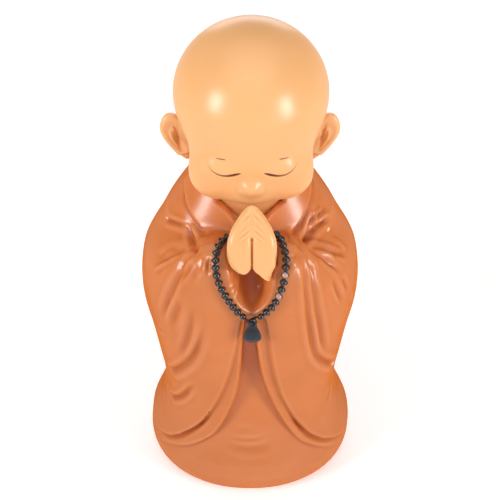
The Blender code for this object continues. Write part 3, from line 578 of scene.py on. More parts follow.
# each fold: depth, width, the shares of its length it fades over, and the points it runs through
folds = (
    (1.1, 0.9, 0.15, 0.3, (-32.7, -7.8, 119.3), (-29.7, -12.2, 121.1), (-26.5, -15.5, 122.2),
     (-24.1, -17.6, 122.4)),
    (1.65, 1.1, 0.3, 0.05, (-24.5, -15.5, 124.2), (-23.5, -18.2, 122.3), (-22.5, -20.7, 120.9),
     (-21.2, -25.8, 121.4), (-19.5, -32.2, 123.6)),
    (1.76, 1.8, 0.4, 0.2, (-23.1, -26.4, 120), (-21.1, -30.3, 122.1), (-19.1, -33.4, 123.8)),
    (-0.99, 0.8, 0.3, 0.2, (-37.7, -20.9, 103.9), (-34.7, -23.6, 108.3), (-31.4, -25, 111.9),
     (-28.2, -26.2, 115), (-24.6, -27.8, 118.5)),
    (1.21, 1.6, 0.3, 0.2, (-35.5, -21.6, 108.4), (-31.5, -23.3, 112.7), (-28.2, -24.7, 115.5),
     (-25, -26.9, 118.2)),
    (0.88, 1.2, 0.3, 0.3, (-36.4, -20, 108.1), (-33.9, -20, 111.4), (-31.5, -20.1, 113.9),
     (-28.3, -22.1, 116.1), (-25.1, -25.2, 118.4)),
    (-0.77, 0.6, 0.1, 0.1, (-19.1, -33.1, 123.8), (-16.4, -33.8, 125.2), (-13.1, -33.7, 126)),
    (1.1, 1.1, 0.2, 0.4, (-20.2, -33.5, 122.7), (-23, -32.3, 119.4), (-25.7, -31.3, 115.7),
     (-27.7, -31.5, 112.4)),
    (1.21, 1.5, 0.2, 0.3, (-22.9, -33.8, 118.7), (-26.9, -33.2, 111.9), (-29.8, -33.5, 104.8),
     (-32.5, -31, 95.7), (-34.9, -27.7, 85.3)),
    (0.77, 1, 0.3, 0.5, (-21.3, -35.9, 120.3), (-22.9, -35.9, 116.9), (-24.9, -35.5, 112.7),
     (-26.1, -36.1, 108.9)),
    (0.66, 1.1, 0.3, 0.5, (-19, -36.8, 122.4), (-19.8, -38.3, 120.3), (-20.9, -39.1, 116.6),
     (-22.2, -39.3, 111.9)),
    (0.66, 0.9, 0.3, 0.5, (-18.1, -37, 123), (-18.2, -39.1, 121), (-18.6, -40.8, 117.5)),
    (0.99, 0.8, 0.2, 0.4, (-15.4, -37.6, 124), (-15.4, -40.1, 121.8), (-15.6, -42, 118.5)),
    (0.99, 1.8, 0.4, 0.4, (-26.6, -37, 104.7), (-28, -35.9, 97.8), (-29.8, -34.3, 90.4),
     (-31.3, -32.2, 82.9)),
    (0.99, 1.5, 0.4, 0.3, (-21.5, -41.2, 104.8), (-22.3, -40.7, 95.8), (-24, -39.1, 85.4),
     (-27.7, -33.6, 70.5)),
    (1.32, 1.5, 0.4, 0.1, (-17.8, -43.1, 98.9), (-18.8, -42.6, 89.9), (-20.9, -40.5, 79.9),
     (-24, -36.8, 70.8), (-27.5, -32.1, 63.3), (-30.7, -26.7, 56.8), (-32.9, -21.8, 52.8)),
    (-0.3, 0.9, 0.3, 0.3, (-37, -22.3, 77.5), (-35.8, -24, 75.3), (-33.6, -28.2, 77.1)),
    (1.1, 1.1, 0.4, 0.2, (-21.1, -36.7, 58.9), (-24.1, -33.1, 53.1), (-26.4, -29.5, 46.6),
     (-29.2, -25, 40.4), (-31.8, -20.2, 36.2), (-33.4, -16.1, 35.7), (-34.1, -13.4, 37.2)),
    (0.4, 1.6, 0.3, 0.5, (-34.6, -11, 37.2), (-34.2, -13.6, 35.1), (-33.3, -17.4, 32.9), (-31.7, -21.3, 32)),
    (-0.99, 1, 0.3, 0.3, (24.1, -13.1, 128.1), (22.5, -15.8, 126.3), (21.2, -18.1, 124.1),
     (19.8, -21.3, 122.8)),
    (0.88, 0.9, 0.3, 0.3, (24.9, -13.3, 126.8), (23.3, -15.8, 125.3), (22.2, -18.2, 123.3),
     (21, -21.1, 122.2)),
    (-0.77, 0.7, 0.3, 0.3, (28.1, -9, 126.5), (26.3, -12.3, 126), (24.9, -14.7, 124.8), (23.9, -16.5, 123.5)),
    (0.88, 0.8, 0.3, 0.3, (27.7, -10.6, 125.7), (26.1, -13.4, 125), (24.9, -15.5, 123.7)),
    (-0.88, 1.4, 0.3, 0.3, (31, -8.5, 122.8), (28.5, -12.1, 123.3), (26.1, -14.9, 123.2), (24.1, -17, 122.9)),
    (1.87, 1.1, 0.25, 0.05, (31.4, -9.1, 121.3), (28.9, -12.8, 122.1), (26.1, -16, 122.1),
     (23.7, -18.7, 121.5), (21.7, -21.9, 121.1), (20.1, -25.8, 122.2)),
    (-0.77, 0.6, 0.1, 0.1, (13.9, -29.9, 126), (16.2, -28.8, 125.2), (19.3, -26.6, 122.9)),
    (0.99, 0.8, 0.1, 0.3, (13.8, -31.3, 126.2), (16.1, -31.4, 125.6), (18, -31.8, 124.7),
     (19.9, -31.8, 123.3)),
    (-0.88, 0.9, 0.2, 0.3, (20.4, -26.3, 122.1), (24.8, -22.7, 118.8), (28.8, -20.6, 116.2),
     (32.8, -18.8, 113.1), (36.9, -16.7, 109.3)),
    (1.1, 1, 0.2, 0.2, (21.2, -27.4, 121.7), (25.1, -24.1, 118.4), (29.1, -21.7, 115.5),
     (33.2, -19.7, 112.4), (37.7, -16.6, 108)),
    (-0.77, 1, 0.4, 0.3, (31.3, -16.1, 115.7), (34.1, -14.7, 113.4), (36.1, -14.9, 111.1),
     (37.3, -15.4, 109.2)),
    (1.21, 1.1, 0.2, 0.4, (21.1, -29.2, 122), (23.9, -27.9, 119.3), (26.6, -27.1, 116.5),
     (29.8, -26.5, 113.1), (33, -25.8, 109.3), (35.5, -24.9, 105.1)),
    (-0.77, 1.2, 0.4, 0.3, (27.5, -24.7, 116.3), (30.2, -23.9, 113.7), (32.6, -24.1, 110.9)),
    (0.99, 0.9, 0.2, 0.4, (20.6, -32.6, 122.5), (22.1, -34.9, 119.5), (23.3, -36.1, 115.6),
     (24.1, -37.1, 111.6)),
    (-0.88, 1.3, 0.4, 0.4, (23, -32.3, 119.4), (24.5, -32.4, 116.8), (26.1, -32.6, 114)),
    (1.32, 1.4, 0.15, 0.05, (19, -34.9, 123.3), (20.9, -38.9, 117), (21.6, -40.7, 108.2),
     (22.7, -40.4, 96.6), (23.9, -39.3, 86.5), (25.4, -36.9, 77.2), (27.3, -33.9, 70.3),
     (30.4, -28.9, 63.3), (33.8, -20.9, 55.6)),
    (1.21, 1.4, 0.2, 0.3, (22.1, -34.2, 119.9), (23.7, -37.6, 111.6), (24.8, -38.7, 104.1),
     (26.1, -37.8, 94.9), (28.6, -34, 77.2), (31.1, -28.9, 66.9)),
    (-0.88, 1.6, 0.4, 0.4, (14.9, -38.4, 123.7), (16.2, -39.3, 122.3), (17.5, -39.9, 120.7)),
    (0.88, 1, 0.3, 0.4, (31.3, -29.6, 108.4), (32.8, -29.8, 104.1), (34.4, -28, 98.2), (36.4, -25.5, 91.6)),
    (0.66, 0.9, 0.3, 0.4, (35.5, -25.2, 104.4), (37.1, -23.2, 99.3), (38.4, -21.2, 94.1)),
    (0.4, 1.6, 0.3, 0.5, (34.6, -11, 37.2), (33.9, -14.4, 36.4), (32.8, -18.3, 34.3), (31.2, -22.1, 32.2)),
    (-0.3, 0.9, 0.3, 0.3, (40.1, -17.4, 91), (40.6, -15.7, 86.4), (39.7, -17.9, 85.7)),
    (-0.3, 0.9, 0.3, 0.3, (38.6, -20.8, 86.1), (38.4, -20.9, 84.7), (38.3, -21.1, 83.2)),
    (0.6, 0.9, 0.4, 0.4, (-9.9, -33, 28), (-5.8, -34.2, 26.6), (0, -34.6, 26.4), (4.9, -34.1, 27.1),
     (8.2, -33, 29.1)),
    (0.3, 1.4, 0.45, 0.45, (-10.3, -31.9, 32), (-4.9, -32.9, 31.3), (0, -33.2, 31.3), (4.9, -32.7, 32.3)),
    (0.4, 1.6, 0.45, 0.45, (-12.4, -33.6, 24.5), (-6.6, -35.5, 22.9), (0, -36.1, 22.3),
     (6.6, -35.5, 22.9), (12.4, -33.6, 24.5)),
)
backFolds = {
    "angles": (128, 150, 171, 192, 214, 234),
    "depth": 0.9,
    "width": 3.4,
    "sway": 2.5,
    "swayLength": 17,
    "low": (16, 34),
    "high": (84, 118),
}
collar = {
    "middle": -1.1,
    "step": 0.9,
    "groove": 0.5,
    "line": (
        (-24.4, -4.2, 136.2),
        (-23.5, -9.5, 131.2),
        (-22.6, -12.1, 129.3),
        (-21.4, -14.4, 127.7),
        (-19.9, -16.7, 126.1),
        (-18.3, -18.8, 124.8),
        (-15.6, -23.3, 123.9),
        (-11, -28, 123),
    ),
    "openingZ": (125, 129.6, 131.6, 133.1, 134.5, 145),
    "opening": (3, 6.8, 8.7, 10.6, 12.8, 15),
    "openingDepth": 4,
}


def planRadius(angle, z, table):
    # radius of a rounded plan outline whose side, front and back half sizes follow the height:
    # ((|sin| / side) ^ power + (|cos| / depth) ^ power) ^ (-1 / power)
    side = curveThrough(z, table["z"], table["side"])
    front = curveThrough(z, table["z"], table["front"])
    back = curveThrough(z, table["z"], table["back"])
    depth = np.where(np.cos(angle) > 0, front, back)
    power = table["power"]
    return ((np.abs(np.sin(angle)) / side) ** power + (np.abs(np.cos(angle)) / depth) ** power) ** (-1 / power)


def aboveEdge(turn, z, edge):
    # distance above a hem line whose height follows the angle, measured square to the line
    degrees = np.arange(-180, 181, 1.0)
    height = curveThrough(degrees, edge["angle"], edge["height"])
    slant = np.interp(turn, degrees, np.gradient(height, np.radians(1.0))) / 40
    return (z - np.interp(turn, degrees, height)) / np.sqrt(1 + slant ** 2)


def robeField(p):
    # body, forearms and hanging sleeves as rounded layers round the axis, less the pocket between the cuffs
    x, y, z = p[..., 0], p[..., 1], p[..., 2]
    angle = np.arctan2(x, -y)
    turn = np.degrees(angle)
    aside = np.abs(turn)
    reach = np.hypot(x, y)
    inner = np.maximum(reach - planRadius(angle, z, skirt), z - skirt["top"])
    upper = common(reach - planRadius(angle, z, shoulders), z - shoulders["top"], 4)
    mirrored = np.stack([np.abs(x), y, z], -1)
    top = joined(upper, taperedRod(mirrored, *robe["forearm"]), 6)
    lobe = robe["lobe"]
    swell = 1 + lobe["size"] * np.exp(-(((aside - lobe["angle"]) / lobe["width"]) ** 2))
    cloth = common(reach - planRadius(angle, z, sleeves) * swell, z - sleeves["top"], 14)
    below = -aboveEdge(turn, z, hem)
    outer = common(cloth, below, 0.9)
    slit = robe["slit"]
    cut = slit["depth"] * np.exp(-(((below - slit["width"]) / slit["width"]) ** 2))
    cut = cut * ease(aside, *slit["start"]) * (1 - ease(aside, *slit["end"]))
    inside = common(cloth + robe["liningSetback"] + cut, -aboveEdge(turn, z, lining), 0.9)
    hanging = joined(outer, inside, 0.5)
    body = joined(top, joined(inner, hanging, 0.8), 8)
    off = x - pocket["middle"]
    halfGap = curveThrough(z, pocket["z"], pocket["half"])
    floor = curveThrough(z, pocket["floorZ"], pocket["floor"])
    hollow = common(np.abs(off) - halfGap, y - floor + pocket["hollow"] * off ** 2, 2.4)
    return common(body, -hollow, 1.5)


def robeRelief(p):
    # depth that the folds, the collar band and the neck opening cut in at each point;
    # a fold is a round groove with a low ridge beside it, fading over its ends
    depth = np.zeros(p.shape[:-1])
    for cut, width, fadeStart, fadeEnd, *points in folds:
        away, share = nearPath(p, smoothPath(points, 4))
        fade = ease(share, 0, fadeStart) * (1 - ease(share, 1 - fadeEnd, 1))
        groove = np.exp(-((away / width) ** 2)) - 0.35 * np.exp(-(((away - 2.2 * width) / width) ** 2))
        depth += cut * fade * groove
    x, y, z = p[..., 0], p[..., 1], p[..., 2]
    turn = np.degrees(np.arctan2(x, -y)) % 360
    for angle in backFolds["angles"]:
        sway = angle + backFolds["sway"] * np.sin(z / backFolds["swayLength"] + angle)
        fade = ease(z, *backFolds["low"]) * (1 - ease(z, *backFolds["high"]))
        depth += backFolds["depth"] * fade * np.exp(-(((turn - sway) / backFolds["width"]) ** 2))
    mirrored = np.stack([-np.abs(x - collar["middle"]), y, z], -1)
    line = smoothPath(collar["line"], 4)
    away, _ = nearPath(mirrored, line)
    inside = -mirrored[..., 0] < np.interp(z, line[::-1, 2], -line[::-1, 0])
    signed = np.where(inside, away, -away)
    inFront = 1 - ease(y, -4, 2)
    depth -= collar["step"] * ease(signed, -0.6, 0.6) * inFront * (1 - ease(away, 12, 20))
    depth += collar["groove"] * np.exp(-(((signed + 1.2) / 1.0) ** 2)) * inFront
    opening = np.interp(z, collar["openingZ"], collar["opening"])
    within = 1 - ease(np.abs(x), opening - 0.6, opening + 0.4)
    depth += collar["openingDepth"] * within * (1 - ease(y, -8, -4)) * ease(z, 125, 127)
    return depth


def evenPlainCloth(points):
    # the plain cloth across the shoulder blades moves half way to its neighbours' mean, pass after pass
    evening = robe["evening"]
    y, z = points[..., 1], points[..., 2]
    plain = ease(y, *evening["depth"]) * ease(z, *evening["low"]) * (1 - ease(z, *evening["high"]))
    share = plain[..., None] * 0.5
    for _ in range(evening["passes"]):
        beside = np.roll(points, 1, 1) + np.roll(points, -1, 1)
        upDown = np.vstack([points[:1], points[:-1]]) + np.vstack([points[1:], points[-1:]])
        points += share * ((beside + upDown) / 4 - points)


def addRobe():
    # level rays out from the axis up to the chest, then rays that tilt up to close over the shoulders
    u = np.linspace(0, 2 * np.pi, robe["around"], endpoint=False)
    u = u - robe["crowding"] * np.sin(u)
    v = np.linspace(0, 1, robe["rows"])
    height = np.interp(v, (0, 0.72, 1), (0, 112, 118))
    rise = np.radians(np.interp(v, (0, 0.72, 1), (0, 0, 84)))
    turn, lift = np.meshgrid(u, rise)
    origin = np.zeros((robe["rows"], robe["around"], 3))
    origin[..., 2] = height[:, None]
    out = np.cos(lift)
    direction = np.stack([out * np.sin(turn), -out * np.cos(turn), np.sin(lift)], -1)
    points = castInwards(origin, direction, robeField, 62, 70)
    points -= fieldNormal(points, robeField) * robeRelief(points)[..., None]
    evenPlainCloth(points)
    points[0, :, 2] = 0
    points[..., 2] = np.maximum(points[..., 2], 0)
    addFigurePiece("robe", points, robePaint)


addRobe()
print("robe ready")

# head and neck: lumps that run together, each with its centre from the head's own, radii and blend
head = {
    "centre": (0.4, 1.0, 164.5),
    "around": 250,
    "rows": 220,
    "cranium": ((0, 2.7, 6), (29.3, 31.2, 27.4)),
    "lumps": (
        ((0, -5.6, -11.4), (21.8, 21.0, 18.5), 7.5),  # lower face
        ((11.8, -14.5, -18.6), (11.5, 10.8, 10), 6),  # cheeks
        ((0, -18.2, -21.6), (8.8, 8.0, 7.0), 5),  # chin and mouth
        ((0, -25.6, -17.6), (3.3, 3.6, 3.2), 3.2),  # nose
        ((2.5, -25.0, -18.8), (1.4, 2.0, 1.3), 1.6),  # nostrils' wings
        ((9.8, -21.5, -10.4), (6.3, 3.5, 4.0), 4.0),  # lids
    ),
    "neckRadius": 13.5,
    "neckBack": 2,
    "neckFoot": -38.5,
    "throat": ((0, -5.5, -33), (15.5, 14.5, 12), 4),
}


def headField(p):
    # the cranium joined with each lump in turn, on a round neck
    q = p - np.array(head["centre"])
    x, y, z = q[..., 0], q[..., 1], q[..., 2]
    m = np.stack([np.abs(x), y, z], -1)
    f = ellipsoid(m, *head["cranium"])
    for centre, radii, blend in head["lumps"]:
        f = joined(f, ellipsoid(m, centre, radii), blend)
    neck = np.hypot(x, y - head["neckBack"]) - head["neckRadius"]
    neck = np.maximum(common(neck, head["neckFoot"] - z, 2), z + 5)
    centre, radii, blend = head["throat"]
    return joined(joined(f, neck, 6), ellipsoid(q, centre, radii), blend)


def addHead():
    # rays from the head's middle out to its field
    rows = ballRows(head["around"], head["rows"], head["centre"], headField, 55, 0.35)
    addFigurePiece("head", rows, headPaint)


addHead()

# ears
ear = {
    "centre": (27.6, 4.5, 149.8),
    "leanDegrees": 20.0,
    "halfLength": 10.8,
    "z": (-11.5, -6, 0, 6, 11.5),
    "half": (2.8, 3.5, 4.6, 5.7, 5.6),
    "halfThickness": 1.7,
    "rimRadius": 1.25,
    "ridgeRadius": 0.75,
    "bowl": ((-1.2, -2.4, -0.6), (2.3, 2.5, 4.6)),
}


def earField(p):
    # a leaning plate with a rolled rim, an inner ridge and a scooped bowl
    q = p - np.array(ear["centre"])
    lean = math.radians(ear["leanDegrees"])
    x = q[..., 0] * math.cos(lean) - q[..., 2] * math.sin(lean)
    z = q[..., 0] * math.sin(lean) + q[..., 2] * math.cos(lean)
    y = q[..., 1]
    half = curveThrough(z, ear["z"], ear["half"])
    edge = (np.sqrt((x / half) ** 2 + (z / ear["halfLength"]) ** 2) - 1) * half
    plate = common(edge, np.abs(y) - ear["halfThickness"], 1.4)
    rim = np.maximum(np.hypot(edge + 1.1, y + 1.3) - ear["rimRadius"], -z - 7)
    ridge = np.maximum(np.hypot(edge + 3.0, y + 1.5) - ear["ridgeRadius"], -x - 0.4)
    bowl = ellipsoid(np.stack([x, y, z], -1), *ear["bowl"])
    return common(joined(joined(plate, rim, 0.6), ridge, 0.6), -bowl, 0.9)


def addEars():
    # the right ear, and its mirror image with its columns turned round so that its faces point outwards
    rows = ballRows(110, 100, ear["centre"], earField, 20)
    addFigurePiece("ear_right", rows, headPaint)
    addFigurePiece("ear_left", (rows * (-1, 1, 1))[:, ::-1], headPaint)


addEars()

# hands
hands = {
    "centre": (0.7, -39.5, 129.5),
    "around": 260,
    "rows": 200,
    "front": 46.4,
    "leanHeight": 135,
    "lean": (-0.741, 0.672),
    "sightSlope": 0.781,
    # half width of the outline against the height that it is seen at
    "rise": (116, 119.3, 121.2, 123, 125.3, 130.3, 134.7, 137.6, 140, 142.2, 145.2, 147.3, 149.6, 151.5),
    "half": (5.0, 6.3, 7.6, 8.3, 8.7, 9.2, 8.7, 7.9, 7.1, 6.0, 4.5, 3.2, 1.4, -2.0),
    "longerHeel": 1.8,
    "wrist": ((4.6, -38, 125), (7.0, -29, 117.5), 4.0, 4.0),
    "slitHalf": 0.1,
    "slitTop": 136.6,
    "slitDepth": 0.85,
    "slitEnd": ((0, -44.3, 136.6), (0.5, 1.6, 0.9)),
    "fingerLines": (145.4, 143.2, 141.2, 139.6),
    "lineDepth": 0.2,
    "lineWidth": 0.55,
    "lineSlope": 0.68,
}


def handField(p):
    # two palms pressed together: a pointed outline drawn backwards and up, a leaning front, a slit,
    # a longer right heel, and low ridges along the fingers
    signed = p - np.array((hands["centre"][0], 0, 0))
    x = np.abs(signed[..., 0])
    y, z = p[..., 1], p[..., 2]
    m = np.stack([x, y, z], -1)
    right = np.maximum(signed[..., 0], 0)
    upright = -y - hands["front"] + 0.6 * ((x - 4.4) / 4.4) ** 2
    leaning = hands["lean"][0] * (y + hands["front"]) + hands["lean"][1] * (z - hands["leanHeight"])
    sight = z + hands["sightSlope"] * (y + 40)
    heel = hands["longerHeel"] * ease(-sight, -126, -117) * ease(right, 0, 2)
    side = (x - curveThrough(sight, hands["rise"], hands["half"]) - heel) * 0.75
    body = common(common(upright, leaning, 5), side, 2.6)
    under = 121.4 - z - 1.15 * np.maximum(right - 2.6, 0)
    body = common(body, common(y + 33.5, under, 3), 2.4)
    body = joined(body, taperedRod(m, *hands["wrist"]), 2)
    deep = hands["slitDepth"] + 8.4 * ease(-z, -126, -120)
    opening = x - hands["slitHalf"] - 0.45 * np.maximum(124.5 - z, 0)
    slit = np.maximum(np.maximum(opening, z - hands["slitTop"]), -body - deep)
    body = common(body, -slit, 2.1)
    body = common(body, -ellipsoid(m, *hands["slitEnd"]), 0.5)
    along = z + hands["lineSlope"] * x
    lines = sum(np.exp(-(((along - line) / hands["lineWidth"]) ** 2)) for line in hands["fingerLines"])
    onFingers = ease(x, 0.4, 1.4) * (1 - ease(x, 3.0, 5.2)) * (1 - ease(y, -36, -34))
    return body - hands["lineDepth"] * lines * onFingers


def addHands():
    # rays from the hands' middle out to their field
    rows = ballRows(hands["around"], hands["rows"], hands["centre"], handField, 30)
    addFigurePiece("hands", rows, handPaint)


addHands()
print("head, ears and hands ready")

# necklace: the same route as the solid's, in millimetres
strand = {
    "beadRadius": 1.3,
    "pitch": 2.95,
    "coreRadius": 0.30,
    "plyRadius": 0.26,
    "plySwing": 1.32,
    "plyLift": 0.42,
    "clearance": 0.45,
    "eye": (0.9, -47.7, 100.8),
    "eyeHole": 1.0,
    "eyeOuter": 1.8,
    "pendantHalf": 3.5,
    "pendantLength": 11.8,
    "pendantThickness": 3.2,
    "paleHeights": (120.4, 111.7),
    "beadAround": 20,
    "beadRings": 11,
    "beadHoleAngle": 0.24,
    "left": (
        (-4, -28.5, 127),
        (-8.2, -30.8, 126.8),
        (-11.2, -34.5, 126.6),
        (-12.6, -39, 125),
        (-12.6, -42.5, 121.5),
        (-11.4, -44.6, 117.2),
        (-8.9, -45.6, 111.8),
        (-5.6, -46.4, 106.3),
        (-2.4, -46.9, 102.6),
    ),
    "right": (
        (5, -28.6, 128.6),
        (9.6, -30.6, 129.2),
        (12, -35.5, 128.4),
        (13.3, -40, 124.8),
        (12.9, -43.5, 119.6),
        (11.4, -45.4, 113.8),
        (8.6, -46.4, 107.8),
        (4.4, -46.9, 103),
    ),
}


def settle(points, gap):
    # points of the strand move outwards until they stand clear of the robe and the hands by gap
    def field(p):
        return np.minimum(robeField(p) + np.minimum(robeRelief(p), 0), handField(p))

    for _ in range(12):
        short = np.maximum(gap - field(points), 0)
        points = points + fieldNormal(points, field) * short[..., None]
    return points


def strandRoute():
    # down the left, through the eye from front to back, and up the right, as a closed ring of points
    x, y, z = strand["eye"]
    gap = strand["beadRadius"] + strand["clearance"]
    left = settle(smoothPath(strand["left"], 6), gap)
    right = settle(smoothPath(strand["right"], 6), gap)
    half = 0.3 * strand["pendantThickness"]
    through = (
        (x - 1.2, y - half - 0.8, z + 1.1),
        (x, y - half, z + 0.1),
        (x, y, z),
        (x, y + half, z + 0.1),
        (x + 1.2, y + half + 0.6, z + 1.1),
    )
    knots = np.vstack([left[::3], np.array(through), right[::-1][::3]])
    closed = np.vstack([knots[-1], knots, knots[0], knots[1]])
    return smoothPath(closed, 8)[8:-8][:-1]


def beadMaterial():
    # black glass beads, a few of them pale where the tone attribute is 1
    material, tree, shader = newMaterial("blackBead")
    pick = addNode(tree, "ShaderNodeAttribute", {"attribute_name": "tone"})
    colour = mixColour(tree, pick.outputs["Fac"], (0.006, 0.004, 0.006, 1), (0.42, 0.27, 0.24, 1))
    tree.links.new(colour, shader.inputs["Base Color"])
    rough = mathNode(tree, "ADD", mathNode(tree, "MULTIPLY", objectNoise(tree, 1800.0, 2.0), 0.06), 0.04)
    tree.links.new(rough, shader.inputs["Roughness"])
    shader.inputs["Specular IOR Level"].default_value = 0.5
    shader.inputs["Coat Weight"].default_value = 0.7
    shader.inputs["Coat Roughness"].default_value = 0.08
    return material


def threadMaterial():
    # black waxed thread with fine fibres
    material, tree, shader = newMaterial("waxedThread")
    fibre = objectNoise(tree, 4200.0, 1.0)
    colour = mixColour(tree, fibre, (0.008, 0.007, 0.008, 1), (0.030, 0.024, 0.024, 1))
    tree.links.new(colour, shader.inputs["Base Color"])
    shader.inputs["Roughness"].default_value = 0.5
    linkBump(tree, shader, fibre, 0.5, 0.00006)
    return material


def strandLoop():
    # the ring closed on itself, and the distance run at each of its points
    route = strandRoute()
    loop = np.vstack([route, route[0]])
    return loop, np.r_[0, np.cumsum(np.linalg.norm(np.diff(loop, axis=0), axis=1))]


def alongLoop(loop, run, s):
    # the ring's point at each distance s, going round and round
    return np.stack([np.interp(s % run[-1], run, loop[:, k]) for k in range(3)], -1)


def frameAt(loop, run, s):
    # at each distance s: the centre, the directions along, across and away from the robe, and 0 near the eye
    centre = alongLoop(loop, run, s)
    tangent = alongLoop(loop, run, s + 0.4) - alongLoop(loop, run, s - 0.4)
    tangent /= np.linalg.norm(tangent, axis=-1, keepdims=True)
    across = np.cross(tangent, (0.0, -0.75, 0.66))
    across /= np.linalg.norm(across, axis=-1, keepdims=True)
    eye = np.linalg.norm(centre - np.array(strand["eye"]), axis=-1)
    return centre, tangent, across, np.cross(across, tangent), ease(eye, 3.0, 4.5)


def addBeads():
    # every bead is one small ball, repeated along the ring as whole arrays, turned to the ring's direction
    loop, run = strandLoop()
    count = int(round(run[-1] / strand["pitch"]))
    pitch = run[-1] / count
    centre, tangent, across, rise, swell = frameAt(loop, run, np.arange(count) * pitch)
    keep = swell > 0.3
    centre, tangent, across, rise = centre[keep], tangent[keep], across[keep], rise[keep]
    around, rings = strand["beadAround"], strand["beadRings"]
    u = np.linspace(0, 2 * np.pi, around, endpoint=False)
    v = np.linspace(strand["beadHoleAngle"], np.pi - strand["beadHoleAngle"], rings)
    turn, tilt = np.meshgrid(u, v)
    out = np.sin(tilt)
    shell = np.stack([out * np.cos(turn), out * np.sin(turn), np.cos(tilt)], -1).reshape(-1, 3)
    size = strand["beadRadius"] * np.random.default_rng(7).uniform(0.94, 1.03, len(centre))
    basis = np.stack([across, rise, tangent], 1)
    verts = centre[:, None] + size[:, None, None] * np.einsum("vk,bkc->bvc", shell, basis)
    index = np.arange(around * rings).reshape(rings, around)
    turned = np.roll(index, -1, 1)
    quads = np.stack([index[:-1], index[1:], turned[1:], turned[:-1]], -1).reshape(-1, 4)
    starts = np.arange(len(centre))[:, None, None] * around * rings
    faces = (quads + starts).reshape(-1, 4).tolist()
    faces += (index[0][None] + starts[:, 0]).tolist() + (index[-1][::-1][None] + starts[:, 0]).tolist()
    pale = np.zeros(len(centre))
    onRight = centre[:, 0] > strand["eye"][0]
    for height in strand["paleHeights"]:
        pale[np.argmin(np.where(onRight, np.abs(centre[:, 2] - height), 99))] = 1
    mesh = bpy.data.meshes.new("beads")
    mesh.from_pydata((verts.reshape(-1, 3) * unit).tolist(), [], faces)
    mesh.polygons.foreach_set("use_smooth", [True] * len(mesh.polygons))
    tone = mesh.attributes.new("tone", "FLOAT", "POINT")
    tone.data.foreach_set("value", np.repeat(pale, around * rings).astype(np.float32))
    mesh.materials.append(beadMaterial())
    mesh.update()
    obj = bpy.data.objects.new("beads", mesh)
    scene.collection.objects.link(obj)
    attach(obj, "root")
    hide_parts("bead_necklace")
    return obj


def addThread(name, points, radius, material):
    # a round thread through the points
    data = bpy.data.curves.new(name, "CURVE")
    data.dimensions = "3D"
    data.bevel_depth = radius * unit
    data.bevel_resolution = 2
    data.use_fill_caps = True
    spline = data.splines.new("POLY")
    spline.points.add(len(points) - 1)
    spline.points.foreach_set("co", np.c_[points * unit, np.ones(len(points))].ravel())
    data.materials.append(material)
    obj = bpy.data.objects.new(name, data)
    scene.collection.objects.link(obj)
    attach(obj, "root")
    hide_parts("bead_necklace")
    return obj


def addThreads(pieces):
    # a core thread through the beads, and two plies that swing past each bead and cross between them
    loop, run = strandLoop()
    eye = np.array(strand["eye"])
    start = run[np.argmin(np.linalg.norm(loop - eye, axis=1))]
    pitch = run[-1] / int(round(run[-1] / strand["pitch"]))
    paint = threadMaterial()
    s = start + np.linspace(0.3, run[-1] - 0.3, 150)
    core = frameAt(loop, run, s)[0]
    thread = addThread("thread", core, strand["coreRadius"], paint)
    s = start + np.linspace(0.3, run[-1] - 0.3, 360)
    centre, _, across, rise, _ = frameAt(loop, run, s)
    spread = ease(np.linalg.norm(centre - eye, axis=1), 4.4, 6.2)
    nearEye = strand["coreRadius"]
    for side, label in ((1, "ply_a"), (-1, "ply_b")):
        swing = side * (nearEye + (strand["plySwing"] - nearEye) * spread) * np.cos(np.pi * s / pitch)
        lift = side * strand["plyLift"] * spread * np.sin(np.pi * s / pitch)
        path = centre + across * swing[:, None] + rise * lift[:, None]
        pieces.append(addThread(label, path, strand["plyRadius"], paint))


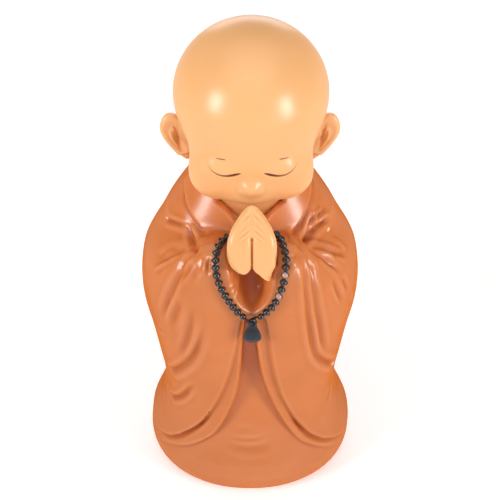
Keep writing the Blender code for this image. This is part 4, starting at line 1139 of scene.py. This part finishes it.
def addPendant():
    # a flat drop: elliptical slices whose half width and thickness follow the share of its length, less the eye
    material, tree, shader = newMaterial("polishedStone")
    grain = objectNoise(tree, 260.0, 4.0)
    colour = mixColour(tree, grain, (0.003, 0.005, 0.009, 1), (0.014, 0.020, 0.032, 1))
    tree.links.new(colour, shader.inputs["Base Color"])
    rough = mathNode(tree, "ADD", mathNode(tree, "MULTIPLY", grain, 0.14), 0.10)
    tree.links.new(rough, shader.inputs["Roughness"])
    shader.inputs["Specular IOR Level"].default_value = 0.45
    x, y, z = strand["eye"]
    share = (1 - np.cos(np.linspace(0.05, np.pi - 0.05, 70))) / 2
    top = strand["eyeOuter"] / strand["pendantLength"]
    widest = strand["pendantHalf"]
    half = curveThrough(share, (2 * top, 0.38, 0.50, 0.65, 0.80, 1), (1.75, 1.95, 2.55, 3.15, widest, widest))
    half *= np.sqrt(1 - np.clip((share - 0.78) / 0.22, 0, 1) ** 2.4 + 0.004)
    ring = strand["eyeOuter"] * np.sqrt(np.clip(1 - ((share - top) / top) ** 2, 0.0, 1) + 0.004)
    half = np.where(share < top, ring, np.maximum(ring, half))
    thick = curveThrough(share, (0, 0.1, 0.3, 0.5, 0.72, 1), (0.45, 0.6, 0.7, 0.95, 1.0, 0.9))
    thick *= strand["pendantThickness"] / 2
    thick *= np.sqrt(1 - np.clip((share - 0.72) / 0.28, 0, 1) ** 2 + 0.01)
    around = np.linspace(0, 2 * np.pi, 64, endpoint=False)
    height = z + strand["eyeOuter"] - share * strand["pendantLength"]
    wide, deep = half[:, None] * np.sin(around), thick[:, None] * np.cos(around)
    rows = np.stack([x + wide, y - deep, height[:, None] + 0 * around], -1)[::-1]
    obj = addGrid("drop", rows, material)
    ring = np.stack([np.cos(around), 0 * around, np.sin(around)], -1) * strand["eyeHole"]
    bore = addGrid("bore", np.array([ring + (x, y + 3, z), ring + (x, y - 3, z)]), material)
    mod = obj.modifiers.new("eye", "BOOLEAN")
    mod.operation = "DIFFERENCE"
    mod.solver = "EXACT"
    mod.object = bore
    bpy.context.view_layer.update()
    cut = bpy.data.meshes.new_from_object(obj.evaluated_get(bpy.context.evaluated_depsgraph_get()))
    obj.modifiers.clear()
    obj.data = cut
    bpy.data.objects.remove(bore)
    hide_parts("pendant")
    return obj


addThreads([addBeads(), addPendant()])
print("necklace and pendant ready")

# plain pale floor and soft studio light
studio = {
    "floorTone": 0.88,
    "floorGlow": 0.40,
    "world": 0.26,
    "floorHalf": 4,
    "floorDrop": 0.0003,
    "middle": 0.1,  # height that the lights are placed about
    "aimHeight": 0.15,  # height that they point at
    # name, azimuth from the front, height angle, distance, width, height, power, spread in degrees
    "boxes": (
        ("boxLeft", -56, 21, 0.55, 0.15, 0.27, 0.235, 60),
        ("boxRight", 54, 15, 0.55, 0.15, 0.29, 0.25, 60),
        ("front", 0, 54, 0.7, 0.57, 0.57, 0.045, 60),
        ("ceiling", 0, 89, 0.85, 1.0, 1.0, 3.1, 180),
        ("backWall", 180, 9, 0.9, 0.6, 0.30, 2.2, 180),
    ),
}


def addStudio():
    # each lamp stands about the middle at its azimuth, height angle and distance, and points at the aim
    mesh = bpy.data.meshes.new("floor")
    h, z = studio["floorHalf"], -studio["floorDrop"]
    mesh.from_pydata([(-h, -h, z), (h, -h, z), (h, h, z), (-h, h, z)], [], [(0, 1, 2, 3)])
    material, _, shader = newMaterial("floorPaper")
    shader.inputs["Base Color"].default_value = (studio["floorTone"],) * 3 + (1,)
    shader.inputs["Roughness"].default_value = 0.9
    shader.inputs["Emission Color"].default_value = (1, 1, 1, 1)
    shader.inputs["Emission Strength"].default_value = studio["floorGlow"]
    mesh.materials.append(material)
    floor = bpy.data.objects.new("floor", mesh)
    scene.collection.objects.link(floor)
    middle = Vector((0, 0, studio["middle"]))
    aim = Vector((0, 0, studio["aimHeight"]))
    for name, turn, rise, distance, width, height, power, spread in studio["boxes"]:
        data = bpy.data.lights.new(name, "AREA")
        data.shape = "RECTANGLE"
        data.size = width
        data.size_y = height
        data.energy = power
        data.spread = math.radians(spread)
        lamp = bpy.data.objects.new(name, data)
        scene.collection.objects.link(lamp)
        a, b = math.radians(turn), math.radians(rise)
        out = Vector((math.cos(b) * math.sin(a), -math.cos(b) * math.cos(a), math.sin(b)))
        lamp.location = middle + out * distance
        lamp.rotation_euler = (aim - lamp.location).to_track_quat("-Z", "Y").to_euler()
    world = bpy.data.worlds.new("studio")
    world.use_nodes = True
    background = world.node_tree.nodes["Background"]
    background.inputs["Color"].default_value = (1, 1, 1, 1)
    background.inputs["Strength"].default_value = studio["world"]
    scene.world = world
    scene.view_settings.view_transform = "Standard"


addStudio()
